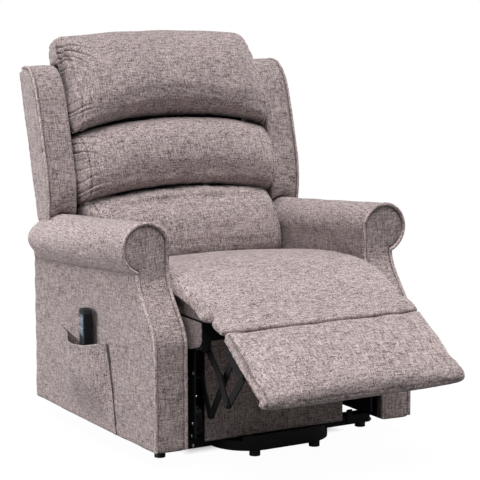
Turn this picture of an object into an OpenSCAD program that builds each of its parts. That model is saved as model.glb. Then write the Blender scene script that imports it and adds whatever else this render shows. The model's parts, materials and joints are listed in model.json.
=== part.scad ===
// Lift recliner chair: floor frame, lift linkage, upholstered carriage, reclining back,
// footrest on folding links, and a wired handset in a side pocket.
// X runs across the chair, -Y is the front, +Z is up, Z = 0 is the floor.

/* [Arms and seat] */
// Clear width between the two arm panels
seat_w = 576; // [560:2:600]
// Thickness of an arm panel, inner face to outer face
arm_w = 86.5; // [80:0.5:95]
// Radius of the roll on top of an arm
roll_r = 65; // [58:1:68]
// Height of the top of the roll at its front face
arm_h = 596; // [590:1:620]
// Length of an arm panel at its foot
arm_len = 704; // [690:2:730]
// How far the roll's front face stands behind the foot of the arm
arm_setback = 92; // [60:2:110]
// Height of an arm's lower edge above the floor
arm_clear = 42; // [41:1:48]
// Fall of the roll from front to back
roll_fall = 4.3; // [3.5:0.1:4.6]
// Height of the seat's edge at its highest point
seat_h = 464; // [450:1:474]
// Crown of the seat over its edges
seat_crown = 14; // [6:1:16]

/* [Back] */
// Lean of the back at rest, from the upright
lean = 16; // [15:0.5:17]
// Height of the back above its reference line, along the back
back_h = 640; // [620:2:700]
// Width of one wing, across the chair
wing_w = 89; // [84:1:94]
// Thickness of the outside back board
back_board_t = 14; // [9:1:18]
// Front bulge of the back cushions, behind the reference line
bulge_y = 46; // [40:1:60]

/* [Footrest] */
// Length of the footrest from its seam to its nose
foot_len = 234; // [215:1:245]
// Width of the footrest cushion
foot_w = 572; // [540:2:576]
// Slope of the footrest below level, at rest
foot_slope = 31; // [29:0.5:33]
// Thickness of the footrest board
foot_board_t = 12; // [8:1:14]
// Crown of the footrest cushion over its edges
foot_crown = 19; // [8:1:24]

/* [Steel] */
// Thickness of the carriage side plates
plate_t = 4; // [3:0.5:5]
// Thickness of the lift arms
lift_arm_t = 8; // [6:0.5:10]
// Thickness of the footrest links
link_t = 4; // [3:0.5:5]
// Radius of the main pivot pins
pin_r = 7; // [6:0.5:8]
// Radius of the rivets in the footrest links
rivet_r = 4; // [3:0.25:5]
// Height of the floor glides
glide_h = 14; // [12:1:16]
// Radius of the floor glides
glide_r = 14; // [12:0.5:17]
// Height of the floor frame's tubes
tube_h = 24; // [20:1:25]

/* [Handset] */
// Width of the handset
hand_w = 56; // [50:1:58]
// Thickness of the handset
hand_t = 22; // [18:0.5:23]
// Length of the handset
hand_l = 156; // [140:1:160]
// Travel of a handset button
button_travel = 1.2; // [0.8:0.1:1.6]

/* [Hidden] */

fabric = "#9c8f90";
seat_fabric = "#a99d9d";
steel = "#26262a";
lining = "#1b1b1d";
timber = "#c2a477";
plastic = "#202124";

gap = 0.3;            // seat between soft solids
run = 0.1;            // running clearance on pins
origin_y = 179.2;       // puts Y = 0 at the middle of the whole box

// Arms
arm_in = seat_w / 2;
arm_out = arm_in + arm_w;
arm_back = 299;
arm_front = arm_back - arm_len;
arm_high_front = arm_front + arm_setback;
roll_proud = 3;
roll_x = arm_in + roll_r - roll_proud;
roll_z = arm_h - roll_r;
roll_end_y = arm_back - roll_r - 1.5;
function roll_axis_z(y) = roll_z - (y - arm_high_front) * tan(roll_fall);
lining_t = 1.5;
board_t = 18;

// Carriage, from the arms inwards
plate_out = arm_in - 26;
plate_in = plate_out - plate_t;
plate_foot = arm_clear + 8;
rail_w = 24.5;
rail_out = plate_out + 12.5;
rail_in = rail_out - rail_w;
rail_foot = 300;
rail_top = 366;
spring_t = 4;
box_front = -457;
box_back = 74;
cross_rail_d = 24;

// Footrest hinge line and seam
hinge = [-480, 388];
nose_r = hinge[1] - rail_top;
seam = [-567, 365];
flap_t = 13;

// Back: the frame's zero is a line across the chair at the height of the seat
back_zero = 450;
post_front = 176;
post_back = 220.8;
board_back = 221 + back_board_t;
board_foot_z = 345;
pivot = [262, 310];
cushion_back = post_front - 2 - gap;
cushion_hw = arm_in + 13;
wing_in = cushion_hw + 2;
wing_out = wing_in + wing_w;

// Lift linkage: two pivots on the floor frame, two on the carriage
arm_pivot = [170, 75];
arm_end = [-250, 75];
link_pivot = [255, 126];
link_end = [-200, 100];
lift_arm_x = plate_out - 62;
lift_link_x = lift_arm_x + lift_arm_t + 4;
lift_link_t = 8;
link_play = 2.6;      // play of the lift link's front hole on its pin
base_plate_x = lift_link_x + lift_link_t + 2;
base_plate_t = 6;
base_rail_x = base_plate_x + base_plate_t + 2;
base_rail_w = 30;
front_tube_x = base_rail_x + base_rail_w + 58;
tube_top = glide_h + tube_h;
crank_r = 85;
crank_lead = 18;
crank_pin = arm_pivot + crank_r * [-sin(crank_lead), cos(crank_lead)];
lift_tail = [-255, tube_top + 24];
motor_x = 60;

// Back motor
back_crank_pin = [267, 235];
back_tail = [-180, 140];
front_tube = [-262, 150];
rear_tube = [215, 170];
cross_tube_r = 12.5;

// Footrest links: two parallelograms on the hinge line
front_pin = [-585, 258];
upper_pin = [-407, 303];
vertex = upper_pin + front_pin - hinge;
upper_bend = upper_pin + 0.6 * (vertex - upper_pin) + [-9.3, 7.5];
rear_pin = [-525, 302];
lower_pin = [-366, 211];
elbow = lower_pin + rear_pin - hinge;
link_w = 15;
layer = link_t + 1;
link_x0 = plate_out - 41.5;
play = 0.4;           // play of a shared rivet in the second link's hole

// Handset
hand_turn = 13;
hand_z = 190;
hand_half_x = hand_w / 2 * sin(hand_turn) + hand_t / 2 * cos(hand_turn);
hand_x = -(arm_out + 0.6 + hand_half_x);
hand_y = -60;
panel_t = 1.2;
button_w = 15;
button_h = 13;
button_proud = 2.4;
pocket_t = 2.4;

// ---- Helpers ----

module at_origin() { translate([0, origin_y, 0]) children(); }

module both() {
    children();
    mirror([1, 0, 0]) children();
}

// An outline drawn in (y, z), given thickness along X from x
module plate(x, t) {
    translate([x, 0, 0]) rotate([90, 0, 90]) linear_extrude(t) children();
}

// A round bar along X from x, t long, centred on p = [y, z]
module bar_x(x, t, p, r) {
    translate([x, p[0], p[1]]) rotate([0, 90, 0]) cylinder(h = t, r = r, $fn = 48);
}

module box(lo, hi) { translate(lo) cube(hi - lo); }

// The outline in (y, z) of a flat link with round ends at p and q
module strap(p, q, w) {
    d = q - p;
    translate(p) circle(w / 2, $fn = 48);
    translate(q) circle(w / 2, $fn = 48);
    translate(p) rotate(atan2(d[1], d[0])) translate([0, 1 - w / 2]) square([norm(d), w - 2]);
}

module hole(p, r) { translate(p) circle(r, $fn = 48); }

// A solid through closed loops of points, one loop for each station along X. Each loop
// runs from the bottom to the rear, the top and the front. Its two ends are closed from
// the point numbered hub, which every other point of the end loop can see.
module loft(loops, hub = 0) {
    n = len(loops[0]);
    m = len(loops);
    sides = [for (i = [0:m - 2], j = [0:n - 1])
        let (a = i * n + j, b = i * n + (j + 1) % n)
        each [[a, a + n, b + n], [a, b + n, b]]];
    first = [for (k = [1:n - 2]) [hub, (hub + k) % n, (hub + k + 1) % n]];
    last = [for (f = first) [for (k = [2:-1:0]) (m - 1) * n + f[k]]];
    polyhedron([for (l = loops) each l], concat(first, last, sides));
}

// 1 in the middle of a half width hw, falling to the value end at its edge
function round_off(x, hw, end, power) =
    end + (1 - end) * pow(max(0, 1 - pow(abs(x) / hw, power)), 1 / power);

// Stations across a cushion, closer together towards its ends
function stations(hw, n) = [for (i = [0:n]) hw * sin(-90 + 180 * i / n)];

// A point of a loop in (y, z) at x, drawn towards a core line by the factor f
function drawn(x, p, core, f) = [x, core[0] + (p[0] - core[0]) * f, core[1] + (p[1] - core[1]) * f];

// The back's own frame: y and z along its thickness and its height
module lean_back() { translate([0, 0, back_zero]) rotate([-lean, 0, 0]) children(); }

// The footrest's own frame: zero at the seam, -y to its nose, z out of its face
module foot_frame() { translate([0, seam[0], seam[1]]) rotate([foot_slope, 0, 0]) children(); }

// ---- Floor frame ----

module base_rails() {
    color(steel) at_origin() both()
        box([base_rail_x, -265, glide_h], [base_rail_x + base_rail_w, 249, tube_top]);
}

module base_cross_tubes() {
    color(steel) at_origin() {
        box([-front_tube_x, -305, glide_h], [front_tube_x, -265, tube_top]);
        box([-base_rail_x - base_rail_w, 249, glide_h],
            [base_rail_x + base_rail_w, 279, tube_top]);
    }
}

bow_x = arm_in - 125;
bow_h = 36;
bow_t = 14;

// The bowed beam: a straight front with two quarter bends that meet the cross tube
module base_bow_beam() {
    bend_r = 100;
    front = -407;
    reach = -305 - front;
    color(steel) at_origin() difference() {
        translate([0, 0, glide_h]) linear_extrude(bow_h) difference() {
            bow_outline(front, bend_r);
            offset(delta = -bow_t) bow_outline(front, bend_r);
            translate([-bow_x + bow_t, -340]) square([2 * (bow_x - bow_t), 60]);
        }
        box([-bow_x - 1, front + 19, board_foot - 2], [bow_x + 1, -300, glide_h + bow_h + 1]);
    }
}

module bow_outline(front, r) {
    intersection() {
        translate([-bow_x, front]) square([2 * bow_x, -305 - front]);
        union() {
            translate([-bow_x + r, front]) square([2 * (bow_x - r), 150]);
            for (s = [-1, 1]) translate([s * (bow_x - r), front + r]) circle(r, $fn = 64);
            translate([-bow_x, front + r]) square([2 * bow_x, 50]);
        }
    }
}

module base_feet() {
    color(plastic) at_origin() both() for (p = [[front_tube_x - 18, -285], [bow_x - 75, -391], [base_rail_x + 18, 262]])
        translate([p[0], p[1], 0]) {
            cylinder(h = glide_h, r = glide_r, $fn = 40);
        }
}

module base_pivot_plates() {
    color(steel) at_origin() both() {
        plate(base_plate_x, base_plate_t) difference() {
            polygon([[120, glide_h], [249, glide_h], [249, tube_top], [276, tube_top], [276, link_pivot[1]],
                [link_pivot[0] + 10, link_pivot[1] + 18], [link_pivot[0] - 12, link_pivot[1] + 18],
                [arm_pivot[0] + 16, arm_pivot[1] + 22], [arm_pivot[0] - 16, arm_pivot[1] + 22]]);
            hole(arm_pivot, pin_r);
        }
        box([base_plate_x + 1, 130, glide_h], [base_rail_x, 249, tube_top]);
        bar_x(lift_link_x - 3, base_plate_x + base_plate_t + 4 - lift_link_x, link_pivot, pin_r);
        bar_x(lift_link_x - 6, 3.9, link_pivot, pin_r + 4);
    }
}

// Upright tabs on the face of the front tube, each with a bolt head
module base_tabs() {
    color(steel) at_origin() both() {
        box([front_tube_x - 75, -309.2, glide_h + 3], [front_tube_x - 59, -305.2, tube_top + 17]);
        translate([front_tube_x - 67, -308, tube_top + 9]) rotate([90, 0, 0]) cylinder(h = 5, r = 5, $fn = 32);
    }
}

module base_motor_clevis() {
    color(steel) at_origin() difference() {
        for (x = [-motor_x - 24, -motor_x + 18])
            plate(x, 6) polygon([[-290, tube_top], [-266, tube_top], [lift_tail[0] + 14, lift_tail[1] - 12],
                [lift_tail[0] + 14, lift_tail[1] + 14], [lift_tail[0] - 14, lift_tail[1] + 14]]);
        bar_x(-motor_x - 40, 80, lift_tail, pin_r + run);
    }
}

// ---- Lift arms, links and motor ----

module lift_arms() {
    color(steel) at_origin() both() plate(lift_arm_x, lift_arm_t) difference() {
        strap(arm_pivot, arm_end, 36);
        hole(arm_pivot, pin_r - run);
        hole(arm_end, pin_r + run);
    }
}

module lift_torque_tube() {
    color(steel) at_origin() {
        bar_x(-lift_arm_x, 2 * lift_arm_x, arm_pivot, 14);
        for (x = [-motor_x - 20, -motor_x + 14]) plate(x, 6) strap(arm_pivot, crank_pin, 26);
        bar_x(-motor_x - 22, 44, crank_pin, 5);
        both() bar_x(lift_arm_x - 8, base_plate_x + base_plate_t + 4 - lift_arm_x + 8, arm_pivot, pin_r - run);
    }
}

module lift_links() {
    color(steel) at_origin() both() plate(lift_link_x, lift_link_t) difference() {
        strap(link_pivot, link_end, 24);
        hole(link_pivot, pin_r + run);
        hole(link_end, pin_r + link_play);
    }
}

// A screw-drive motor between tail and head = [y, z], across the chair at x
module motor_frame(x, tail, head) {
    d = head - tail;
    translate([x, tail[0], tail[1]]) rotate([atan2(d[1], d[0]), 0, 0]) children();
}

module along_y(y0, y1, r) {
    translate([0, y0, 0]) rotate([-90, 0, 0]) cylinder(h = y1 - y0, r = r, $fn = 40);
}

case_l = 92;
case_w = 34;
tube_r = 15;
rod_r = 8;
can_r = 22;
can_l = 96;

module motor_case(x, tail, head, side) {
    motor_frame(x, tail, head) {
        difference() {
            union() {
                box([-case_w / 2, -14, -14], [case_w / 2, 20, 14]);
                box([-case_w / 2, 18, -22], [case_w / 2, case_l, 24]);
            }
            along_y(38, case_l + 1, tube_r);
        }
        translate([side * (case_w / 2 + can_r - 2), 0, 0]) along_y(24, 24 + can_l, can_r);
    }
}

module motor_tube(x, tail, head, length) {
    motor_frame(x, tail, head) difference() {
        along_y(38, length, tube_r);
        along_y(37, length + 1, rod_r + run);
    }
}

module motor_rod(x, tail, head, start) {
    reach = norm(head - tail);
    motor_frame(x, tail, head) difference() {
        union() {
            along_y(start, reach - 8, rod_r);
            bar_x(-10, 20, [reach, 0], 13);
        }
        bar_x(-11, 22, [reach, 0], 5 + 3.2);
    }
}

module lift_motor_case() {
    color(plastic) at_origin() {
        motor_case(-motor_x, lift_tail, crank_pin, -1);
        bar_x(-motor_x - 28, 56, lift_tail, pin_r);
    }
}

module lift_motor_tube() {
    color(steel) at_origin() motor_tube(-motor_x, lift_tail, crank_pin, 300);
}

module lift_motor_rod() {
    color("silver") at_origin() motor_rod(-motor_x, lift_tail, crank_pin, 180);
}

// ---- Carriage ----

module side_plate_outline() {
    polygon([[-396, plate_foot + 16], [-341, plate_foot + 15], [-330, plate_foot + 27], [-267, plate_foot + 30],
        [-261, plate_foot + 14], [-228, plate_foot + 12], [-182, 85], [-150, 140], [150, 150], [244, 150],
        [281, 270], [281, 322], [272, 331], [252, 331], [240, 318], [232, rail_foot], [-396, rail_foot]]);
}

module carriage_side_plates() {
    color(steel) at_origin() both() difference() {
        union() {
            plate(plate_in, plate_t) side_plate_outline();
            box([rail_in - plate_t, -438, rail_foot - plate_t], [rail_out, box_back, rail_foot]);
            box([rail_in - plate_t, upper_pin[0] - 25, rail_foot - 16],
                [rail_in, upper_pin[0] + 25, upper_pin[1] + 20]);
        }
        bar_x(plate_in - 1, plate_t + 2, arm_end, pin_r);
        bar_x(plate_in - 1, plate_t + 2, link_end, pin_r);
        bar_x(plate_in - 1, plate_t + 2, pivot, pin_r + run);
        bar_x(rail_in - plate_t - 1, plate_t + 2, upper_pin, rivet_r + run);
        bar_x(plate_in - 1, plate_t + 2, lower_pin, rivet_r + run);
    }
}

module carriage_cross_tubes() {
    color(steel) at_origin() {
        for (p = [front_tube, rear_tube]) bar_x(-plate_in, 2 * plate_in, p, cross_tube_r);
        for (x = [motor_x - 24, motor_x + 18]) plate(x, 6) difference() {
            strap(front_tube, back_tail, 28);
            hole(back_tail, pin_r + run);
        }
    }
}

module carriage_pins() {
    color("silver") at_origin() both() {
        bar_x(lift_arm_x - 3, plate_out + 4 - lift_arm_x + 3, arm_end, pin_r);
        bar_x(lift_link_x - 3, plate_out + 4 - lift_link_x + 3, link_end, pin_r);
        for (p = [arm_end, link_end]) bar_x(plate_out, 4, p, pin_r + 3);
        bar_x(lift_arm_x - 6, 5.9, arm_end, pin_r + 4);
        bar_x(lift_link_x - 3.9, 3.8, link_end, pin_r + 4);
    }
}

board_hw = arm_in - 82;
board_y = -345;
board_foot = 38;
board_top = 296;

module front_board() {
    color(fabric) at_origin() box([-board_hw, board_y, board_foot], [board_hw, board_y + 14, board_top]);
}

module front_board_brackets() {
    color(steel) at_origin() for (x = [-150, 130])
        box([x, board_y + 14, front_tube[1] - 8], [x + 20, front_tube[0] - cross_tube_r, front_tube[1] + 8]);
}

module seat_side_rails() {
    color(timber) at_origin() both() box([rail_in, box_front, rail_foot], [rail_out, box_back, rail_top]);
}

module seat_cross_rails() {
    color(timber) at_origin() for (y = [box_front, box_back - cross_rail_d])
        box([-rail_in, y, rail_foot + 20], [rail_in, y + cross_rail_d, rail_top - spring_t]);
}

// Zigzag springs laid flat from the front rail to the rear rail
module seat_springs() {
    turns = 12;
    pitch = (box_back - box_front - 16) / turns;
    color("silver") at_origin() for (k = [-2:2])
        translate([k * 96, box_front + 8, rail_top - spring_t]) linear_extrude(spring_t) {
            for (i = [0:turns]) translate([-24, i * pitch - 2]) square([48, spring_t]);
            for (i = [0:turns - 1]) translate([i % 2 == 0 ? 20 : -24, i * pitch]) square([spring_t, pitch]);
        }
}

module seat_side_covers() {
    color(fabric) at_origin() both() plate(rail_out, 2) polygon([
        [box_front, 320], [box_front + 12, 306], [box_front + 55, 293], [-230, 293],
        [-230, rail_top], [box_front, rail_top]]);
}

// Height of the seat's edge along its length, front to back
seat_line = [[-489.3, 407.9], [-446, 429], [-411, 442], [-378, 452], [-340, 460], [-300, seat_h],
    [-235, seat_h], [-162, seat_h - 6], [-90, seat_h - 15], [-20, seat_h - 25], [44, seat_h - 34]];
nose_steps = 6;

function seat_loop(x) =
    let (hw = arm_in - 2,
        f = round_off(x, hw, 0, 5),
        c = seat_crown * (1 - pow(x / hw, 2)) - 13 * (1 - f))
    concat(
        [[x, 40, rail_top + gap], [x, 54, rail_top + 10], [x, 57, rail_top + 34], [x, 53, seat_h - 44 + c]],
        [for (i = [len(seat_line) - 1:-1:1]) let (p = seat_line[i], k = min(1, (p[0] - seam[0]) / 200))
            [x, p[0], p[1] + c * k * k]],
        [for (i = [0:nose_steps]) let (a = 115 + 155 * i / nose_steps)
            [x, hinge[0] + nose_r * cos(a), hinge[1] + gap + (nose_r - gap) * sin(a)]]);

module seat_pad() {
    color(seat_fabric) at_origin() loft([for (x = stations(arm_in - 2, 16)) seat_loop(x)]);
}

// Front edge of an arm, from its foot up to the roll's face
curve_low = 300;
curve_high = 470;
function ease(t) = t * t * (3 - 2 * t);
arm_curve = [for (i = [0:14]) let (t = i / 14)
    [arm_front + arm_setback * ease(t), curve_low + (curve_high - curve_low) * t]];

module arm_outline() {
    polygon(concat([[arm_front, arm_clear], [arm_back, arm_clear],
        [arm_back, roll_axis_z(arm_back) - 12],
        [roll_end_y, roll_axis_z(roll_end_y)],
        [roll_end_y - 50, roll_axis_z(roll_end_y - 50) + 20], [arm_high_front, roll_z + 20]],
        [for (i = [len(arm_curve) - 1:-1:0]) arm_curve[i]]));
}

module board_outline(inset, foot) {
    polygon([[arm_front + inset, foot], [arm_back - inset, foot],
        [arm_back - inset, 440 - inset], [arm_high_front + inset, 440 - inset],
        [arm_front + inset, curve_low]]);
}

roll_len = (roll_end_y - arm_high_front) / cos(roll_fall);
roll_cap = 110;
cap_start = roll_len + roll_r - roll_cap;

module arm_solid() {
    difference() {
        union() {
            plate(arm_in, arm_w) arm_outline();
            difference() {
                translate([roll_x, arm_high_front, roll_z]) rotate([-90 - roll_fall, 0, 0])
                    rotate_extrude($fn = 72) polygon(concat([[0, -30], [roll_r, -30]],
                        [for (i = [0:9]) [roll_r * cos(10 * i), cap_start + roll_cap * sin(10 * i)]]));
                box([arm_in - 90, arm_high_front - 90, 300], [arm_out + 90, arm_high_front, 700]);
            }
        }
        plate(arm_in + 34, board_t + gap) board_outline(20, arm_clear - 5);
    }
}

module arm_left() {
    color(fabric) at_origin() mirror([1, 0, 0]) arm_solid();
}

module arm_right() {
    color(fabric) at_origin() arm_solid();
}

// Plywood boards inside the arms, drilled for the arm brackets
module arm_boards() {
    color(timber) at_origin() both() difference() {
        plate(arm_in + 34, board_t) board_outline(20.3, arm_clear + 2);
        for (y = [-250, 0, 200]) bar_x(arm_in, arm_w, [y, 300], 45);
    }
}

module arm_linings() {
    color(lining) at_origin() both() plate(arm_in - lining_t, lining_t) polygon([
        [arm_front + 28, arm_clear + 10], [-302, arm_clear + 10], [-286, arm_clear + 22], [284, arm_clear + 24],
        [284, 360], [-300, 360], [arm_front + 28, 300]]);
}

// Blocks that bolt the arms and the rear panel to the side plates
module arm_brackets() {
    color(steel) at_origin() both() for (y = [-340, 120]) {
        box([plate_out, y, 220], [arm_in - lining_t, y + 60, 250]);
        for (dy = [15, 45]) bar_x(plate_in - 5, 5, [y + dy, 235], 7);
        box([plate_out, 235, 180], [arm_in - lining_t - 0.5, 285, 220]);
    }
}

rear_panel_top = 328;

module rear_panel() {
    color(fabric) at_origin() box([-arm_in + 0.5, 285, arm_clear + 12], [arm_in - 0.5, arm_back, rear_panel_top]);
}

// ---- Side pocket and control box ----

pocket_top = [[130, 270], [105, 267], [70, 259], [29, 253], [-27, 251], [-85, 258], [-125, 267], [-156, 274]];
pouch_floor = hand_z - gap;
bag_y = [hand_y - 42, hand_y + 90];
bag_x = -hand_x + hand_half_x + 0.6;

module pocket_outline() {
    polygon(concat([[-198, arm_clear + 4], [126, arm_clear + 4]], pocket_top));
}

// The bag that the pocket makes when something is in it
module bag(grow) {
    hull() {
        translate([arm_out - 1, bag_y[0] - 18 - grow, pouch_floor - 30 - grow])
            cube([2.5 + grow, bag_y[1] - bag_y[0] + 36 + 2 * grow, 8]);
        translate([arm_out - 1, bag_y[0] - grow, pouch_floor - grow])
            cube([bag_x - arm_out + 1 + grow, bag_y[1] - bag_y[0] - 40 + 2 * grow, 12]);
        translate([arm_out - 1, bag_y[0] - 18 - grow, 300])
            cube([2.5 + grow, bag_y[1] - bag_y[0] + 36 + 2 * grow, 8]);
        translate([arm_out - 1, bag_y[0] - grow, 300])
            cube([bag_x - arm_out + 1 + grow, bag_y[1] - bag_y[0] - 40 + 2 * grow, 8]);
    }
}

module side_pocket() {
    color(fabric) at_origin() mirror([1, 0, 0]) difference() {
        intersection() {
            union() {
                plate(arm_out, pocket_t) pocket_outline();
                bag(pocket_t);
            }
            plate(arm_out, 60) pocket_outline();
        }
        difference() {
            bag(0);
            box([arm_out - 2, bag_y[0] - 60, pouch_floor - 60], [bag_x + 5, bag_y[1] + 60, pouch_floor]);
        }
    }
}

box_socket_r = 4;
box_socket_y = 135;

module control_box() {
    color(plastic) at_origin() difference() {
        union() {
            box([90, 120, rear_tube[1] + 12], [190, rear_tube[0] - 20, rear_tube[1] + 52]);
            box([110, rear_tube[0] - 20, rear_tube[1] + 12.5], [170, rear_tube[0] + 12, rear_tube[1] + 20]);
            translate([140, box_socket_y, rear_tube[1] + 4]) cylinder(h = 10, r = 9, $fn = 40);
        }
        translate([140, box_socket_y, rear_tube[1] + 3]) cylinder(h = 21, r = box_socket_r, $fn = 40);
    }
}

// ---- Back ----

module back_posts() {
    color(timber) at_origin() lean_back() both()
        box([plate_in - 22, post_front, -60], [plate_out + 1, post_back, back_h - 77]);
}

module back_rails() {
    color(timber) at_origin() lean_back() for (z = [-40, 290, back_h - 122])
        box([-(plate_in - 22), post_front + 4, z], [plate_in - 22, post_back - 4, z + 40]);
}

module back_webbing() {
    color(lining) at_origin() lean_back() for (i = [0:5])
        box([-plate_out, post_front - 2, i * 98], [plate_out, post_front, i * 98 + 50]);
}

board_low_y = board_back * cos(lean) + 140 * sin(lean);
board_low_z = back_zero - board_back * sin(lean) + 140 * cos(lean);

module outside_back() {
    color(fabric) at_origin() {
        lean_back() {
            box([-(wing_out - 16), post_back + 0.2, 180], [wing_out - 16, board_back, wing_top - 4]);
            box([-(cushion_hw - 22), post_back + 0.2, 200], [cushion_hw - 22, board_back, back_h - 28]);
            box([-(arm_in - 8), post_back + 0.2, 139], [arm_in - 8, board_back, 181]);
        }
        box([-(arm_in - 9), board_low_y - back_board_t - 0.5, board_foot_z],
            [arm_in - 9, board_low_y - 0.5, board_low_z - 2]);
    }
}

// Outline of a wing in the back's own frame
wing_top = 563;
wing_taper = 14;
wing_line = [[post_back, 175], [200, 169], [180, 164], [163, 161], [150, 161], [138, 164], [128, 173], [117, 193],
    [109, 222], [105, 260], [104, 330], [103, 400], [104, 455], [108, 490], [118, 520], [133, 543],
    [152, 556], [175, 562], [200, wing_top], [post_back, 560]];

function wing_loop(x) =
    let (t = (x - wing_in) / (wing_out - wing_in),
        f = min(round_off(t - 0.45, 0.56, 0.9, 4), 1))
    [for (i = [len(wing_line) - 1:-1:0]) let (p = wing_line[i], q = drawn(x, p, [170, 360], f),
        y = p[0] > 210 ? post_back : q[1],
        fall = p[1] < 180 ? roll_r - sqrt(max(0, roll_r * roll_r - pow(x - roll_x, 2))) : 0)
        [x - wing_taper * t * (y - 103) / (post_back - 103), y, q[2] - 0.85 * fall]];

module wing() {
    xs = [for (i = [0:8]) wing_in + (wing_out - wing_in) * (0.5 - 0.5 * cos(180 * i / 8))];
    loft([for (x = xs) [for (p = wing_loop(x)) p]]);
}

module wing_right() {
    color(fabric) at_origin() lean_back() wing();
}

module wing_left() {
    color(fabric) at_origin() lean_back() mirror([1, 0, 0]) wing();
}

// A back cushion: z0 and z1 are its lower and upper edges at the middle, drop0 and drop1
// how far they fall towards the ends, fullest at the height share k
function back_cushion_loop(x, hw, z0, z1, drop0, drop1, front, k, n) =
    let (e = pow(x / hw, 2),
        f = round_off(x, hw, 0.3, 5),
        a = z0 - drop0 * e,
        b = z1 - drop1 * e,
        mid = (a + b) / 2,
        h = (b - a) / 2,
        d = (cushion_back - front) * (0.45 + 0.55 * f))
    concat([[x, cushion_back, mid - h * 0.8], [x, cushion_back, mid + h * 0.8]],
        [for (i = [0:n]) let (
            s = 1 - 2 * i / n,
            full = 1 - pow(abs((s - k) / (1 + abs(k) * sign((s - k) * k == 0 ? 1 : -(s - k) * k))), 2.6))
            [x, cushion_back - d * (0.22 + 0.78 * pow(max(0, full), 0.5)), mid + h * s]]);

module back_cushion(hw, z0, z1, drop0, drop1, front, k) {
    loft([for (x = stations(hw, 16))
        back_cushion_loop(x, hw, z0, z1, drop0, drop1, front, k, 12)]);
}

seam_low = 200;
seam_high = 400;

module bottom_cushion() {
    color(fabric) at_origin() lean_back()
        back_cushion(arm_in - 7, -36, seam_low - 1, 0, 22, bulge_y, -0.25);
}

module middle_cushion() {
    color(fabric) at_origin() lean_back()
        back_cushion(cushion_hw - 3, seam_low + 1, seam_high - 1, 26, 40, bulge_y + 2, -0.2);
}

// The top cushion's outline at its middle: up its rear, over the frame's top edge and
// down its front to the seam
top_line = [[cushion_back, seam_high + 26], [cushion_back, back_h - 76.5], [post_back - gap, back_h - 76.5],
    [post_back - gap, back_h - 27.4], [board_back + 1, back_h - 27.2],
    [board_back + 3, back_h - 16], [board_back - 2, back_h - 1], [board_back - 18, back_h + 9],
    [board_back - 42, back_h + 14], [board_back - 70, back_h + 14], [140, back_h + 8], [115, back_h - 6],
    [92, back_h - 28], [73, back_h - 58], [59, back_h - 93], [bulge_y + 3, back_h - 130],
    [bulge_y - 2, back_h - 168], [bulge_y + 4, seam_high + 42], [bulge_y + 17, seam_high + 21],
    [bulge_y + 38, seam_high + 7], [bulge_y + 62, seam_high + 1]];

function top_loop(x) =
    let (e = pow(x / cushion_hw, 2), f = 0.45 + 0.55 * round_off(x, cushion_hw, 0.3, 5))
    [for (p = top_line) let (t = (p[1] - seam_high) / (back_h - seam_high),
            lip = p[0] > cushion_back && p[1] > back_h - 20,
            rest = back_h - 27.2 + 0.1 * (p[1] - back_h + 27.2),
            drop = p[0] > cushion_back - 1 && p[1] < back_h - 20 ? 0 : (42 - (42 - top_drop) * t) * e,
            z = lip ? max(p[1] - drop, rest) : p[1] - drop)
        [x * (1 - top_taper * (z - top_foot) / (back_h - top_foot)),
            p[0] > cushion_back ? p[0] : cushion_back - (cushion_back - p[0]) * f, z]];
top_drop = 24;
top_taper = 0.06;
top_foot = 356;

module top_cushion() {
    color(fabric) at_origin() lean_back() loft([for (x = stations(cushion_hw, 16)) top_loop(x)], 9);
}

module back_brackets() {
    color(steel) at_origin() both() difference() {
        plate(plate_out + 1, 4) union() {
            translate(pivot) circle(16, $fn = 48);
            polygon([[pivot[0] + 14, pivot[1] + 8], [board_low_y - back_board_t - 0.8, 342],
                [board_low_y - back_board_t - 0.8, 500], [200, 500], [177, 420], [200, 340],
                [pivot[0] - 15, pivot[1] - 4]]);
        }
        bar_x(plate_out, 6, pivot, pin_r);
    }
}

module recline_tube() {
    color(steel) at_origin() {
        bar_x(-plate_in + 1, 2 * plate_in - 2, pivot, 14);
        both() bar_x(plate_in - 12, 12 + plate_t + 5, pivot, pin_r);
        for (x = [motor_x - 20, motor_x + 14]) plate(x, 6) strap(pivot, back_crank_pin, 26);
        bar_x(motor_x - 22, 44, back_crank_pin, 5);
    }
}

module back_motor_case() {
    color(plastic) at_origin() {
        motor_case(motor_x, back_tail, back_crank_pin, 1);
        bar_x(motor_x - 28, 56, back_tail, pin_r);
    }
}

module back_motor_tube() {
    color(steel) at_origin() motor_tube(motor_x, back_tail, back_crank_pin, 350);
}

module back_motor_rod() {
    color("silver") at_origin() motor_rod(motor_x, back_tail, back_crank_pin, 200);
}

// ---- Footrest ----

board_n = -32;
pad_n = board_n + foot_board_t + gap;

module footrest_board() {
    color(timber) at_origin() foot_frame()
        box([-(foot_w / 2 - 24), -(foot_len - 31 - gap), board_n], [foot_w / 2 - 24, -10, board_n + foot_board_t]);
}

function foot_loop(x) =
    let (hw = foot_w / 2,
        f = round_off(x, hw, 0, 5),
        crown = foot_crown * (1 - pow(x / hw, 2)) - 8 * (1 - f),
        l = foot_len,
        tip = 16 * (1 - f))
    [[x, -l + 31, pad_n], [x, -12, pad_n], [x, -2, pad_n + 6], [x, -0.5, -2],
     [x, -9, 3 + crown * 0.45], [x, -l * 0.16, 4 + crown * 0.8], [x, -l * 0.33, 5 + crown],
     [x, -l * 0.5, 5 + crown], [x, -l * 0.67, 4 + crown * 0.95], [x, -l * 0.82, 2 + crown * 0.8],
     [x, -l * 0.92 + tip / 2, crown * 0.5 - 1], [x, -l + 5 + tip, -8], [x, -l + tip, -17],
     [x, -l + 4 + tip, -26], [x, -l + 13 + tip / 2, board_n + 0.5], [x, -l + 31, board_n + 0.5]];

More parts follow.
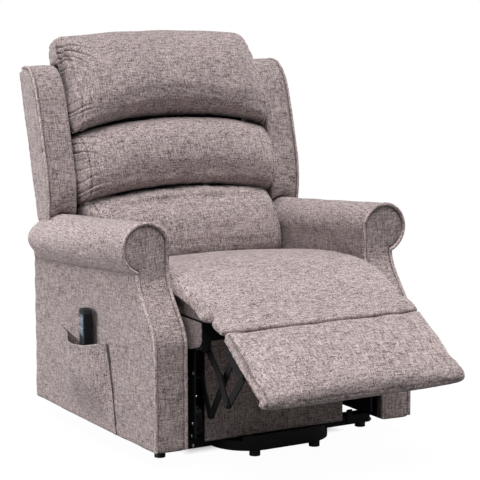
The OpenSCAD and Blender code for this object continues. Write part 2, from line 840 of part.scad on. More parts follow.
module footrest_pad() {
    color(seat_fabric) at_origin() foot_frame() loft([for (x = stations(foot_w / 2, 16)) foot_loop(x)]);
}

// The flap between the seat's nose and the footrest's seam, which turns with the footrest
flap_r = nose_r + 0.8;
flap_top_angle = 152;
flap_foot_angle = 222;
function flap_loop(x) =
    concat([[x, seam[0] + 7, seam[1] - flap_t - 3]],
        [for (i = [0:5]) let (a = flap_foot_angle + (flap_top_angle - flap_foot_angle) * i / 5)
            [x, hinge[0] + flap_r * cos(a), hinge[1] + flap_r * sin(a)]],
        [[x, -532, 387], [x, seam[0] - 0.5, seam[1] + 0.5]]);

module leg_flap() {
    hw = foot_w / 2 - 4;
    color(seat_fabric) at_origin() loft([for (x = [-hw, hw]) flap_loop(x)]);
}

// Steel brackets under the board that the links hold
module footrest_brackets() {
    color(steel) at_origin() both() difference() {
        union() {
            plate(link_x0 + 4 * layer, link_t) union() {
                translate(front_pin) circle(11, $fn = 40);
                translate(rear_pin) circle(11, $fn = 40);
                polygon([front_pin + [0, -11], front_pin + [-16, 3], front_pin + [-28, 20],
                    rear_pin + [-22, 19], rear_pin + [8, 8], rear_pin + [4, -11]]);
            }
        }
        bar_x(link_x0, 60, front_pin, rivet_r + run);
        bar_x(link_x0, 60, rear_pin, rivet_r + run);
    }
}

// Layers outwards from link_x0: long, lower, front, upper, brackets
function layer_x(i) = link_x0 + i * layer;

// A rivet head inside the layer at x
module rivet_head(x, p) { bar_x(x - 2.5, 2.5, p, rivet_r + 3); }

// From the side plates down to the vertex
module upper_leg_links() {
    x = layer_x(3);
    color(steel) at_origin() both() {
        plate(x, link_t) difference() {
            union() {
                strap(upper_pin, upper_bend, link_w);
                strap(upper_bend, vertex, link_w);
            }
            hole(vertex, rivet_r + play);
        }
        bar_x(x, rail_in - gap - x, upper_pin, rivet_r);
    }
}

// From the vertex up to the footrest's front pin
module front_leg_links() {
    x = layer_x(2);
    color(steel) at_origin() both() {
        plate(x, link_t) strap(front_pin, vertex, link_w);
        bar_x(x, layer_x(4) + link_t + 0.4 - x, front_pin, rivet_r);
        bar_x(x, layer_x(3) + link_t + 0.4 - x, vertex, rivet_r);
        bar_x(layer_x(3) + link_t + 0.4, 2, vertex, rivet_r + 3);
    }
}

// From the side plates down to the elbow
module lower_leg_links() {
    x = layer_x(1);
    color(steel) at_origin() both() {
        plate(x, link_t) difference() {
            strap(lower_pin, elbow, link_w);
            hole(elbow, rivet_r + play);
        }
        bar_x(x, plate_out + 2 - x, lower_pin, rivet_r);
    }
}

// From the elbow up to the footrest's rear pin
module long_leg_links() {
    x = layer_x(0);
    color(steel) at_origin() both() {
        plate(x, link_t) strap(rear_pin, elbow, link_w);
        bar_x(x, layer_x(4) + link_t + 0.4 - x, rear_pin, rivet_r);
        bar_x(x, layer_x(1) + link_t + 0.4 - x, elbow, rivet_r);
        bar_x(layer_x(1) + link_t + 0.4, 0.5, elbow, rivet_r + 3);
    }
}

// ---- Handset ----

// The handset's own frame: x along its width, -y out of its button face, z up
module hand_frame() {
    translate([hand_x, hand_y, hand_z]) rotate([0, 0, -90 - hand_turn]) children();
}

module hand_outline() {
    r = 12;
    for (z = [8, hand_l - r]) for (s = [-1, 1])
        translate([s * (hand_w / 2 - (z < r ? 8 : r)), z]) circle(z < r ? 8 : r, $fn = 32);
    translate([-hand_w / 2, 8]) square([hand_w, hand_l - 8 - r]);
    translate([-hand_w / 2 + r, 0]) square([hand_w - 2 * r, hand_l]);
    translate([-hand_w / 2 + 8, 0]) square([hand_w - 16, 20]);
}

panel_lo = hand_l - 68;
panel_hi = hand_l - 14;
button_zs = [panel_lo + 15, panel_hi - 15];

module hand_window(t, grow) {
    translate([-hand_w / 2 + 8 - grow, -hand_t / 2 - 1, panel_lo - grow])
        cube([hand_w - 16 + 2 * grow, t + 1, panel_hi - panel_lo + 2 * grow]);
}

module button_slot(col, row, grow) {
    translate([col * (hand_w / 2 - 17) - button_w / 2 - grow, -hand_t / 2 - 4, button_zs[row] - button_h / 2 - grow])
        cube([button_w + 2 * grow, 4 + panel_t + 3.6 + grow, button_h + 2 * grow]);
}

module handset_case() {
    color(plastic) at_origin() hand_frame() difference() {
        translate([0, hand_t / 2, 0]) rotate([90, 0, 0]) linear_extrude(hand_t) hand_outline();
        hand_window(panel_t, 0);
        for (col = [-1, 1], row = [0, 1]) button_slot(col, row, gap);
    }
}

module handset_panel() {
    color("#5d6670") at_origin() hand_frame() difference() {
        translate([-hand_w / 2 + 8, -hand_t / 2, panel_lo]) cube([hand_w - 16, panel_t, panel_hi - panel_lo]);
        for (col = [-1, 1], row = [0, 1]) button_slot(col, row, gap);
    }
}

module hand_button(col, row) {
    x = col * (hand_w / 2 - 17);
    color("#8d959d") at_origin() hand_frame()
        translate([x - button_w / 2, -hand_t / 2 - button_proud, button_zs[row] - button_h / 2])
        cube([button_w, button_proud + panel_t + 3.6 + gap - button_travel - 0.2, button_h]);
}

module button_back_up() { hand_button(-1, 1); }
module button_back_down() { hand_button(-1, 0); }
module button_lift_up() { hand_button(1, 1); }
module button_lift_down() { hand_button(1, 0); }

base_rails();
base_cross_tubes();
base_bow_beam();
base_feet();
base_pivot_plates();
base_tabs();
base_motor_clevis();
lift_arms();
lift_torque_tube();
lift_links();
lift_motor_case();
lift_motor_tube();
lift_motor_rod();
carriage_side_plates();
carriage_cross_tubes();
carriage_pins();
front_board();
front_board_brackets();
seat_side_rails();
seat_cross_rails();
seat_springs();
seat_side_covers();
seat_pad();
arm_left();
arm_right();
arm_boards();
arm_linings();
arm_brackets();
rear_panel();
side_pocket();
control_box();
back_posts();
back_rails();
back_webbing();
outside_back();
wing_left();
wing_right();
top_cushion();
middle_cushion();
bottom_cushion();
back_brackets();
recline_tube();
back_motor_case();
back_motor_tube();
back_motor_rod();
footrest_board();
footrest_pad();
leg_flap();
footrest_brackets();
upper_leg_links();
front_leg_links();
lower_leg_links();
long_leg_links();
handset_case();
handset_panel();
button_back_up();
button_back_down();
button_lift_up();
button_lift_down();
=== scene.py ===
"""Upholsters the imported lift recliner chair: covers, cushions, piping, linings and fittings."""
import contextlib
import functools
import json
import math

import bmesh
import bpy
import numpy as np
from bpy.props import FloatProperty, FloatVectorProperty, IntProperty, PointerProperty
from bpy.types import Operator, Panel, PropertyGroup
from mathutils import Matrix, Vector
from mathutils.bvhtree import BVHTree

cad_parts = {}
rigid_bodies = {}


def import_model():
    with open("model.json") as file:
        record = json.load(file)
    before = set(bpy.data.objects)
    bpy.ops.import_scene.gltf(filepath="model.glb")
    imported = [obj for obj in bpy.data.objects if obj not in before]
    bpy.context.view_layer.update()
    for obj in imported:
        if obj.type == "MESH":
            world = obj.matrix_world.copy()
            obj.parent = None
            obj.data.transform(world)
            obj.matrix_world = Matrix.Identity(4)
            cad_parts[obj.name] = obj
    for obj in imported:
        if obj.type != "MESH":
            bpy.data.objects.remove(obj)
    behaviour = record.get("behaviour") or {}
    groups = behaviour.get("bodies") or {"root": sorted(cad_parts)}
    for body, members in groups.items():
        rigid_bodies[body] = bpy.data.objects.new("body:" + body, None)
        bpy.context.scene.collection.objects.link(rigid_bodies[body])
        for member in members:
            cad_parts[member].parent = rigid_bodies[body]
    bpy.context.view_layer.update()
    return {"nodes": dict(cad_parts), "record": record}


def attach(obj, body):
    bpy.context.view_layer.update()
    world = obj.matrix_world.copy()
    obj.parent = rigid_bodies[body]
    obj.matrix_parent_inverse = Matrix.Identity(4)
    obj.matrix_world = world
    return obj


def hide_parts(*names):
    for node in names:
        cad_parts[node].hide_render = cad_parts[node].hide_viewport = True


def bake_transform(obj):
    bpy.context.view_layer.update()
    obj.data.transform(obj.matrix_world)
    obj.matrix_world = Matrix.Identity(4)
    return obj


bl_info = {
    "name": "Lift recliner chair",
    "version": (1, 0, 0),
    "blender": (4, 5, 0),
    "location": "View3D > Sidebar > Recliner",
    "description": "Upholsters a packed lift recliner chair",
    "category": "Object",
}

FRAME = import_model()
NODES = FRAME["nodes"]

# Sizes of the chair's own drawing, mm; lower down, what moves or pushes a point is in metres
ORIGIN_Y = 179.2  # the frame's shift along Y
LEAN = math.radians(16)  # the back's
BACK_ZERO, BACK_TOP = 450, 640  # the height where the back's own frame starts, and its top in that frame
ARM_IN, ARM_OUT = 288, 374.5
ARM_FRONT, ARM_SETBACK = -405, 92
ARM_HIGH_FRONT = ARM_FRONT + ARM_SETBACK
ARM_FOOT, ARM_WELT_INSET = 47, 2.6
ROLL_R, ROLL_X, ROLL_Z = 65, 350, 531
ROLL_FALL = math.radians(4.3)  # of the roll's axis towards the rear
CUSHION_HW = 301
CUSHION_FRONT = 172  # gathers, and the painted shade along the seams and gathers, lie in front of this plane of the back
SEAM_LOW, SEAM_HIGH = 200, 400  # the back's cross seams in its middle
SEAM_FALL = {SEAM_LOW: 24, SEAM_HIGH: 41}  # how far each falls at its ends
PUCKERED = ((SEAM_LOW, 23), (SEAM_HIGH, 42))  # where the cloth puckers along them
HINGE = (-480, 388)
SEAM = (-567, 365)  # between the flap and the footrest pad
FOOT_SLOPE = math.radians(31)
FOOT_LEN, FOOT_W = 234, 572


# ---- Places ----


def place(x, y, z):
    """A point in mm of the chair's own drawing, in metres of the frame."""
    return Vector((x / 1000, (y + ORIGIN_Y) / 1000, z / 1000))


def back_place(x, y, z):
    """A point of the back's own frame: y through its thickness, z up its height."""
    return place(x, y * math.cos(LEAN) + z * math.sin(LEAN), BACK_ZERO - y * math.sin(LEAN) + z * math.cos(LEAN))


def coords(co):
    """Metres of the frame to mm of the chair's own drawing."""
    x, y, z = co.T * 1000
    return x, y - ORIGIN_Y, z


def turned(co, y0, z0, angle):
    """Metres of the frame to mm of a frame that starts at (y0, z0) and is turned about X."""
    x, y, z = coords(co)
    y, z = y - y0, z - z0
    return x, y * math.cos(angle) + z * math.sin(angle), z * math.cos(angle) - y * math.sin(angle)


def back_coords(co):
    """Metres of the frame to mm of the back's own frame."""
    return turned(co, 0, BACK_ZERO, -LEAN)


def foot_coords(co):
    """Metres of the frame to mm of the footrest's own frame: zero at the seam, -y to its nose."""
    return turned(co, *SEAM, FOOT_SLOPE)


# ---- Mesh work ----


def assign(target, **values):
    for key, value in values.items():
        setattr(target, key, value)
    return target


def link(obj):
    bpy.context.scene.collection.objects.link(obj)
    return obj


def mesh_object(name, verts, faces=(), edges=()):
    mesh = bpy.data.meshes.new(name)
    mesh.from_pydata([tuple(v) for v in verts], edges, faces)
    return link(bpy.data.objects.new(name, mesh))


def copy_nodes(name, *nodes):
    """One object with merged copies of these nodes' meshes, its place in its mesh."""
    bm = bmesh.new()
    for node in nodes:
        mesh = NODES[node].data.copy()
        mesh.transform(NODES[node].matrix_world)
        bm.from_mesh(mesh)
        bpy.data.meshes.remove(mesh)
    bmesh.ops.remove_doubles(bm, verts=bm.verts, dist=1e-5)
    mesh = bpy.data.meshes.new(name)
    bm.to_mesh(mesh)
    bm.free()
    mesh.materials.clear()
    return link(bpy.data.objects.new(name, mesh))


@contextlib.contextmanager
def edited(obj):
    """Opens an object's mesh for mesh operations, and writes it back."""
    bm = bmesh.new()
    bm.from_mesh(obj.data)
    yield bm
    bm.to_mesh(obj.data)
    bm.free()


def baked(obj):
    """Turns an object's modifiers into its mesh."""
    depsgraph = bpy.context.evaluated_depsgraph_get()
    mesh = bpy.data.meshes.new_from_object(obj.evaluated_get(depsgraph))
    old = obj.data
    obj.modifiers.clear()
    obj.data = mesh
    mesh.name = old.name
    bpy.data.meshes.remove(old)
    return obj


def modified(obj, kind, **settings):
    """Puts one modifier with these settings into the mesh."""
    assign(obj.modifiers.new(kind, kind), **settings)
    return baked(obj)


def smoothed(obj, rounds):
    return modified(obj, "SMOOTH", factor=0.5, iterations=rounds)


def subdivided(obj):
    return modified(obj, "SUBSURF", levels=1, render_levels=1)


def shaded(obj):
    obj.data.polygons.foreach_set("use_smooth", [True] * len(obj.data.polygons))
    return obj


def remeshed(obj, voxel, rounds):
    """An even skin over the object, its edges rounded by smoothing."""
    return shaded(smoothed(modified(obj, "REMESH", mode="VOXEL", voxel_size=voxel), rounds))


def refined(obj, near):
    """Splits the faces near a detail once more; near is a mask over the points."""
    with edited(obj) as bm:
        edges = [e for e in bm.edges if near[e.verts[0].index] and near[e.verts[1].index]]
        bmesh.ops.subdivide_edges(bm, edges=edges, cuts=1, use_grid_fill=True)
    return shaded(obj)


def kept_islands(obj, least=200):
    """Deletes the small closed shells that remeshing leaves inside a skin."""
    with edited(obj) as bm:
        seen = set()
        for start in bm.verts:
            if start in seen:
                continue
            shell, stack = [], [start]
            seen.add(start)
            while stack:
                v = stack.pop()
                shell.append(v)
                for e in v.link_edges:
                    w = e.other_vert(v)
                    if w not in seen:
                        seen.add(w)
                        stack.append(w)
            if len(shell) < least:
                bmesh.ops.delete(bm, geom=shell, context="VERTS")
    return obj


def vectors(items, name):
    out = np.empty(len(items) * 3, np.float32)
    items.foreach_get(name, out)
    return out.reshape(-1, 3).astype(float)


def points_of(obj):
    return vectors(obj.data.vertices, "co")


def move_to(obj, co):
    obj.data.vertices.foreach_set("co", co.astype(np.float32).ravel())
    obj.data.update()


def shifted(obj, x=0, y=0, z=0):
    """Moves each point by these metres along the axes."""
    co = points_of(obj)
    for axis, move in enumerate((x, y, z)):
        co[:, axis] += move
    move_to(obj, co)


def pushed(obj, depth):
    """Moves each point along its normal by depth metres."""
    move_to(obj, points_of(obj) + vectors(obj.data.vertex_normals, "vector") * depth[:, None])
    return obj


def rise(value, span):
    """0 to 1 while value goes from 0 to span."""
    return np.clip(value / span, 0, 1)


def line(distance, width):
    """1 on a line, dying away over about width beside it."""
    return np.exp(-((distance / width) ** 2))


def groove(distance, width, depth):
    return -depth * line(distance, width)


# Weights of x, y and z, a frequency and a start for each of the waves
WAVES = ((0.83, 0.41, 0.2, 1, 1.3), (-0.35, 0.9, -0.47, 0.77, 4.1), (0.21, -0.3, 0.95, 1.13, 2.2),
         (-0.6, -0.52, 0.7, 1.61, 0.4))


def waves(x, y, z, size):
    """A calm uneven field between about -1 and 1, in bumps of about size."""
    k = 2 * math.pi / size
    return sum(np.sin(k * (a * x + b * y + c * z) * often + start) for a, b, c, often, start in WAVES) / len(WAVES)


def folded(x, z, folds):
    """Gathers in a cover: each runs from (x0, z0) to (x1, z1) in mm and dies away; metres."""
    depth = np.zeros(len(x))
    for x0, z0, x1, z1, wide, deep in folds:
        dx, dz = x1 - x0, z1 - z0
        t = np.clip(((x - x0) * dx + (z - z0) * dz) / (dx * dx + dz * dz), 0, 1)
        bend = 5 * np.sin(t * 2.6)
        side = ((x - x0) * dz - (z - z0) * dx) / math.hypot(dx, dz) + bend
        over = np.maximum(np.hypot(x - x0 - t * dx, z - z0 - t * dz) - abs(bend), 0)
        fade = (1 - t) ** 0.8 * line(over, 2.2 * wide)
        depth += deep * fade * (0.55 * line(side - 1.6 * wide, wide) - line(side, wide))
    return depth / 1000


def path_distance(co, path):
    """Each point's distance from a polyline, metres."""
    best = np.full(len(co), 1e9)
    path = np.array([tuple(p) for p in path])
    for a, d in zip(path, np.diff(path, axis=0)):
        t = np.clip(((co - a) @ d) / max(d @ d, 1e-12), 0, 1)
        best = np.minimum(best, np.linalg.norm(co - (a + t[:, None] * d), axis=1))
    return best


def cad_tree(*nodes):
    verts, faces = [], []
    for node in nodes:
        m = NODES[node].matrix_world
        base = len(verts)
        verts += [m @ v.co for v in NODES[node].data.vertices]
        faces += [[base + i for i in p.vertices] for p in NODES[node].data.polygons]
    return BVHTree.FromPolygons(verts, faces)


def held(co, tree, proud, shy=0.001, reach=0.007):
    """Points kept between shy metres inside and proud metres outside the solids of the tree."""
    out = co.copy()
    for i, c in enumerate(co):
        near, normal, _, _ = tree.find_nearest(Vector(c))
        away = (Vector(c) - near).dot(normal)
        if away > proud:
            out[i] = Vector(c) - normal * (away - proud)
        elif away < -shy:
            out[i] = Vector(c) + normal * min(-away - shy, reach)
    return out


def inflated(obj, style, sink, swell, share):
    """Sinks a cover by some slacks and blows it up with air pressure, each point its share of both.

    No point moves further than swell slacks in the wind.
    """
    pushed(obj, -style.slack * sink * share(points_of(obj)))
    before = points_of(obj)
    cloth = obj.modifiers.new("cloth", "CLOTH")
    assign(cloth.settings, quality=4, mass=0.3, tension_stiffness=12, compression_stiffness=12, shear_stiffness=4,
           bending_stiffness=0.4, use_pressure=True, uniform_pressure_force=style.pressure)
    cloth.settings.effector_weights.gravity = 0
    assign(cloth.collision_settings, use_collision=False, use_self_collision=False)
    assign(cloth.point_cache, frame_start=1, frame_end=style.frames)
    scene = bpy.context.scene
    for frame in range(1, style.frames + 1):
        scene.frame_set(frame)
        bpy.context.view_layer.update()
    baked(obj)
    scene.frame_set(1)
    move = (points_of(obj) - before) * share(before)[:, None]
    length = np.linalg.norm(move, axis=1)
    move *= (np.minimum(length, style.slack * swell) / np.maximum(length, 1e-9))[:, None]
    move_to(obj, before + move)


def paint_shade(obj, amount):
    """Notes on the mesh how much painted shade each point gets, 0 to 1: the shade of its seams, folds and recesses,
    which the cover's material paints into its colour.
    """
    note = obj.data.attributes.new("seam", "FLOAT", "POINT")
    note.data.foreach_set("value", np.clip(amount, 0, 1).astype(np.float32))
    return obj


def finished(obj, finish, body, *nodes):
    """Paints a piece, hangs it on its body and lets it stand for its nodes."""
    obj.data.materials.clear()
    obj.data.materials.append(finishes()[finish])
    obj.data.polygons.foreach_set("material_index", [0] * len(obj.data.polygons))
    if nodes:
        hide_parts(*nodes)
    if body:
        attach(obj, body)
    return obj


def lined(obj, hidden):
    """Gives the lining to the faces whose centre and normal pass a test."""
    obj.data.materials.append(finishes()["lining"])
    for p in obj.data.polygons:
        if hidden(p.center, p.normal):
            p.material_index = 1


# ---- Materials ----


class Tree:
    """A node tree, with short ways to add, set and join its nodes."""

    def __init__(self, tree):
        self.nodes, self.links = tree.nodes, tree.links

    def feed(self, socket, value):
        """Sets an input, or joins it to a socket or to a node's first output."""
        if isinstance(value, bpy.types.Node):
            value = value.outputs[0]
        if isinstance(value, bpy.types.NodeSocket):
            self.links.new(value, socket)
        else:
            socket.default_value = value

    def add(self, kind, inputs=(), **props):
        """A new node; inputs maps its sockets to what they are fed with."""
        node = assign(self.nodes.new(kind if "Node" in kind else "ShaderNode" + kind), **props)
        for name, value in dict(inputs).items():
            self.feed(node.inputs[name], value)
        return node

    def math(self, operation, a, b=0):
        return self.add("Math", {0: a, 1: b}, operation=operation).outputs[0]

    def over(self, share, under, upper):
        """One surface or background over another."""
        return self.add("MixShader", {0: share, 1: under, 2: upper})


class Shader(Tree):
    """A material's node tree round its Principled node."""

    def __init__(self, name):
        self.material = bpy.data.materials.new(name)
        self.material.use_nodes = True
        super().__init__(self.material.node_tree)
        self.surface = self.nodes["Principled BSDF"]
        self.coords = self.add("TexCoord").outputs["Object"]

    def noise(self, scale, detail=2.0, roughness=0.5):
        """Noise whose features are 1/scale metres; scale may differ by axis."""
        scale = scale if isinstance(scale, tuple) else (scale,) * 3
        mapping = self.add("Mapping", {"Vector": self.coords, "Scale": scale})
        noise = self.add("TexNoise", {"Vector": mapping, "Scale": 1, "Detail": detail, "Roughness": roughness})
        return noise.outputs["Fac"]

    def summed(self, *sockets):
        total = sockets[0]
        for socket in sockets[1:]:
            total = self.math("ADD", total, socket)
        return total

    def weighed(self, *terms):
        """The sum of (socket, weight) pairs."""
        return self.summed(*[self.math("MULTIPLY", *term) for term in terms])

    def spread(self, value, low, high, to_low=0.0, to_high=1.0):
        return self.add("MapRange", {"Value": value, "From Min": low, "From Max": high,
                                     "To Min": to_low, "To Max": to_high}).outputs["Result"]

    def ramp(self, value, *stops):
        node = self.add("ValToRGB", {"Fac": value})
        while len(node.color_ramp.elements) < len(stops):
            node.color_ramp.elements.new(0.5)
        for element, (position, colour) in zip(node.color_ramp.elements, stops):
            element.position = position
            element.color = (*colour, 1)
        return node.outputs["Color"]

    def multiplied(self, share, a, b):
        return self.add("Mix", {0: share, 6: a, 7: b}, data_type="RGBA", blend_type="MULTIPLY").outputs[2]

    def bump(self, height, strength, distance):
        return self.add("Bump", {"Height": height, "Strength": strength, "Distance": distance})

    def set(self, **values):
        for name, value in values.items():
            self.feed(self.surface.inputs[name.replace("_", " ")], value)
        return self.material

    def uneven(self, tone, stops, rough, normal, **values):
        """A finish whose colour and roughness both follow one tone."""
        rough = self.spread(tone, 0.3, 0.7, *rough)
        return self.set(Base_Color=self.ramp(tone, *stops), Roughness=rough, Normal=normal, **values)


def scaled(colour, factor):
    return tuple(min(1.0, c * factor) for c in colour)


def between(a, b, share):
    return [x * (1 - share) + y * share for x, y in zip(a, b)]


def woven(name, cover, light, lean=0.0):
    """A heathered linen weave: slubs along all three axes, flecks and fine threads. Its tone, light, paints lit and
    shaded copies of the one cloth, and the seam attribute paints shade into its colour.
    """
    s = Shader(name)
    if lean:
        s.coords = s.add("Mapping", {"Vector": s.coords, "Rotation": (lean, 0, 0)}).outputs["Vector"]
    thin, long = 1 / cover.yarn, 1 / cover.slub
    slubs = s.summed(*[s.noise(tuple(long if a == axis else thin for a in range(3)), 3, 0.62) for axis in range(3)])
    threads = s.weighed((slubs, 0.262), (s.noise(thin * 0.95, 2, 0.75), 0.214), (s.noise(11, 2), 0.035))
    pale, dark = cover.pale, cover.dark
    middle = between(pale, dark, 0.5)
    # Every colour is scaled by light: painted light and shade, the same cloth made paler or darker per piece.
    colour = s.ramp(
        s.spread(threads, 0.438, 0.585),
        (0.0, scaled(dark, 0.55 * light)),
        (0.27, scaled(between(middle, dark, 0.4), light)),
        (0.5, scaled(middle, light)),
        (0.74, scaled(between(middle, pale, 0.5), light)),
        (1.0, scaled(pale, 1.12 * light)),
    )
    tint = s.ramp(s.noise(thin * 0.6, 1), (0.38, (1, 0.955, 0.93)), (0.62, (0.955, 0.975, 1)))
    # Painted shade: the seam attribute darkens the colour towards dark brown in seams, folds and shaded recesses.
    seam = s.math("MULTIPLY", s.add("Attribute", attribute_name="seam").outputs["Fac"], 0.85)
    colour = s.multiplied(seam, s.multiplied(0.8, colour, tint), (0.12, 0.10, 0.10, 1))
    axes = s.add("SeparateXYZ", {0: s.coords}).outputs
    pitch = 2 * math.pi / cover.thread
    grid = s.summed(*[s.math("SINE", s.math("MULTIPLY", axis, pitch)) for axis in axes])
    relief = s.bump(s.weighed((grid, 0.07), (threads, 3.2)), 0.55, 0.0008)
    return s.set(Base_Color=colour, Roughness=s.spread(threads, 0.4, 0.62, 0.95, 0.78), Normal=relief,
                 Sheen_Weight=0.12, Sheen_Roughness=0.45, Specular_IOR_Level=0.25)


def mottled(name, colour, rough, grain, depth, contrast=0.25, gloss=0.5):
    """Paint or plastic: an uneven tone, an uneven gloss and a fine relief."""
    s = Shader(name)
    fine = s.noise(grain, 2)
    stops = ((0.3, scaled(colour, 1 - contrast)), (0.7, scaled(colour, 1 + contrast)))
    return s.uneven(s.weighed((s.noise(grain * 0.12, 3), 0.6), (fine, 0.4)), stops, (rough - 0.07, rough + 0.07),
                    s.bump(fine, 0.5, depth), Specular_IOR_Level=gloss)


def drawn_metal(name, colour, rough):
    """Zinc-plated steel with fine draw lines."""
    s = Shader(name)
    lines = s.noise((2500, 60, 2500), 2)
    stops = ((0.3, scaled(colour, 0.8)), (0.7, scaled(colour, 1.15)))
    return s.uneven(lines, stops, (rough - 0.08, rough + 0.08), s.bump(lines, 0.3, 0.0001), Metallic=1.0)


def plywood(name):
    """Raw plywood: long grain on its faces and thin plies on its edges."""
    s = Shader(name)
    grain = s.noise((18, 18, 260), 4, 0.6)
    tone = s.weighed((grain, 0.65), (s.noise((420, 30, 30), 2), 0.35))
    stops = ((0.32, (0.30, 0.19, 0.10)), (0.5, (0.52, 0.37, 0.22)), (0.68, (0.66, 0.50, 0.33)))
    return s.uneven(tone, stops, (0.62, 0.8), s.bump(grain, 0.4, 0.0004))


def elastic(name):
    """Black elastic webbing with raised ribs along it."""
    s = Shader(name)
    ribs = s.noise((40, 900, 900), 2)
    stops = ((0.35, (0.012, 0.012, 0.013)), (0.65, (0.05, 0.05, 0.052)))
    return s.uneven(ribs, stops, (0.75, 0.92), s.bump(ribs, 0.8, 0.0006))


@functools.cache
def finishes():
    """All the chair's materials, made once."""
    cover = bpy.context.scene.recliner_cover
    return {
        # fabric and back_fabric, seat_fabric and foot_fabric, and welt are shaded and lit copies of the one cloth:
        # painted light and shade.
        "fabric": woven("heathered_weave", cover, cover.body_painted_tone),
        "back_fabric": woven("heathered_weave_back", cover, cover.body_painted_tone, LEAN),
        "foot_fabric": woven("heathered_weave_foot", cover, cover.seat_painted_tone, -FOOT_SLOPE),
        "seat_fabric": woven("heathered_weave_seat", cover, cover.seat_painted_tone),
        "welt": woven("heathered_weave_welt", cover, cover.welt_painted_tone),
        "webbing": elastic("black_webbing"),
        "bright_steel": drawn_metal("zinc_plate", (0.62, 0.62, 0.63), 0.34),
        "timber": plywood("plywood"),
        "thread": mottled("seam_thread", (0.30, 0.25, 0.245), 0.8, 2500, 0.0001),
        "lining": mottled("black_lining", (0.008, 0.008, 0.009), 0.95, 900, 0.0006, 0.35, 0.12),
        "black_steel": mottled("black_powder_coat", (0.009, 0.009, 0.010), 0.5, 1400, 0.00012, gloss=0.3),
        "black_plastic": mottled("black_moulding", (0.012, 0.012, 0.013), 0.5, 1800, 0.0001),
        "handset_plastic": mottled("handset_shell", (0.008, 0.009, 0.012), 0.5, 2600, 0.00005, gloss=0.18),
        "panel_plastic": mottled("handset_panel", (0.10, 0.125, 0.165), 0.4, 2600, 0.00005, 0.12),
        "button_plastic": mottled("handset_buttons", (0.27, 0.31, 0.37), 0.45, 2600, 0.00005, 0.08),
    }


# ---- Geometry node trees ----


class Graph(Tree):
    """A geometry node tree with named inputs that ends in Realize Instances and Set Material."""

    def __init__(self, name, **sizes):
        self.group = bpy.data.node_groups.new(name, "GeometryNodeTree")
        super().__init__(self.group)
        face = self.group.interface
        self.ids = {}
        for label, default in {"Geometry": None, **sizes, "Material": None}.items():
            kind = {float: "Float", int: "Int"}.get(type(default), label)
            socket = face.new_socket(label, in_out="INPUT", socket_type="NodeSocket" + kind)
            if default is not None:
                socket.default_value = default
            self.ids[label] = socket.identifier
        face.new_socket("Geometry", in_out="OUTPUT", socket_type="NodeSocketGeometry")
        self.given = self.nodes.new("NodeGroupInput").outputs

    def close(self, geometry):
        whole = self.add("GeometryNodeRealizeInstances", {"Geometry": geometry})
        smooth = self.add("GeometryNodeSetShadeSmooth", {"Geometry": whole})
        paint = self.add("GeometryNodeSetMaterial", {"Geometry": smooth, "Material": self.given["Material"]})
        self.add("NodeGroupOutput", {"Geometry": paint})
        return self


@functools.cache
def welt_graph():
    """A round piping cord along the edges of the input mesh."""
    g = Graph("Welt", Radius=0.004, Step=0.004, Sides=12)
    curve = g.add("GeometryNodeMeshToCurve", {"Mesh": g.given["Geometry"]})
    even = g.add("GeometryNodeResampleCurve", {"Curve": curve, "Length": g.given["Step"]}, mode="LENGTH")
    ring = g.add("GeometryNodeCurvePrimitiveCircle", {"Resolution": g.given["Sides"], "Radius": g.given["Radius"]})
    return g.close(g.add("GeometryNodeCurveToMesh", {"Curve": even, "Profile Curve": ring, "Fill Caps": True}))


@functools.cache
def stitch_graph():
    """Short stitches laid end to end along the edges of the input mesh."""
    g = Graph("Stitches", Pitch=0.005, Length=0.0034, Radius=0.0005)
    curve = g.add("GeometryNodeMeshToCurve", {"Mesh": g.given["Geometry"]})
    points = g.add("GeometryNodeCurveToPoints", {"Curve": curve, "Length": g.given["Pitch"]}, mode="LENGTH")
    stitch = g.add("GeometryNodeMeshCylinder", {
        "Vertices": 6, "Radius": g.given["Radius"], "Depth": g.given["Length"]})
    return g.close(g.add("GeometryNodeInstanceOnPoints", {
        "Points": points, "Rotation": points.outputs["Rotation"], "Instance": stitch}))


@functools.cache
def stud_graph():
    """A domed head at each point of the input mesh, facing along its facing attribute."""
    g = Graph("Studs", Radius=0.006, Height=0.5)
    facing = g.add("GeometryNodeInputNamedAttribute", {"Name": "facing"}, data_type="FLOAT_VECTOR")
    turn = g.add("FunctionNodeAlignRotationToVector", {"Vector": facing}, axis="Z")
    ball = g.add("GeometryNodeMeshUVSphere", {"Segments": 16, "Rings": 10, "Radius": g.given["Radius"]})
    size = g.add("ShaderNodeCombineXYZ", {"X": 1, "Y": 1, "Z": g.given["Height"]})
    return g.close(g.add("GeometryNodeInstanceOnPoints", {
        "Points": g.given["Geometry"], "Instance": ball, "Rotation": turn, "Scale": size}))


def grown(obj, graph, finish, body, **values):
    """Runs one of the node trees over an object and keeps the plain mesh, as a piece on its body."""
    modifier = obj.modifiers.new("grown", "NODES")
    modifier.node_group = graph.group
    for label, value in {**values, "Material": finishes()[finish]}.items():
        modifier[graph.ids[label]] = value
    baked(obj)
    with edited(obj) as bm:
        bmesh.ops.remove_doubles(bm, verts=bm.verts, dist=1e-6)
        bmesh.ops.recalc_face_normals(bm, faces=bm.faces)
    return finished(obj, finish, body)


def along(name, paths):
    """An object with each path as a run of edges."""
    verts, edges = [], []
    for path in paths:
        edges += [(len(verts) + i, len(verts) + i + 1) for i in range(len(path) - 1)]
        verts += path
    return mesh_object(name, verts, edges=edges)


def welt(name, path, radius, body):
    """Piping along a path."""
    return grown(along(name, [path]), welt_graph(), "welt", body, Radius=radius)


def stitches(name, paths, trim, body):
    """Seam thread along each path, in one object."""
    return grown(along(name, paths), stitch_graph(), "thread", body,
                 Pitch=trim.stitch_pitch, Length=trim.stitch_length, Radius=trim.stitch_radius)


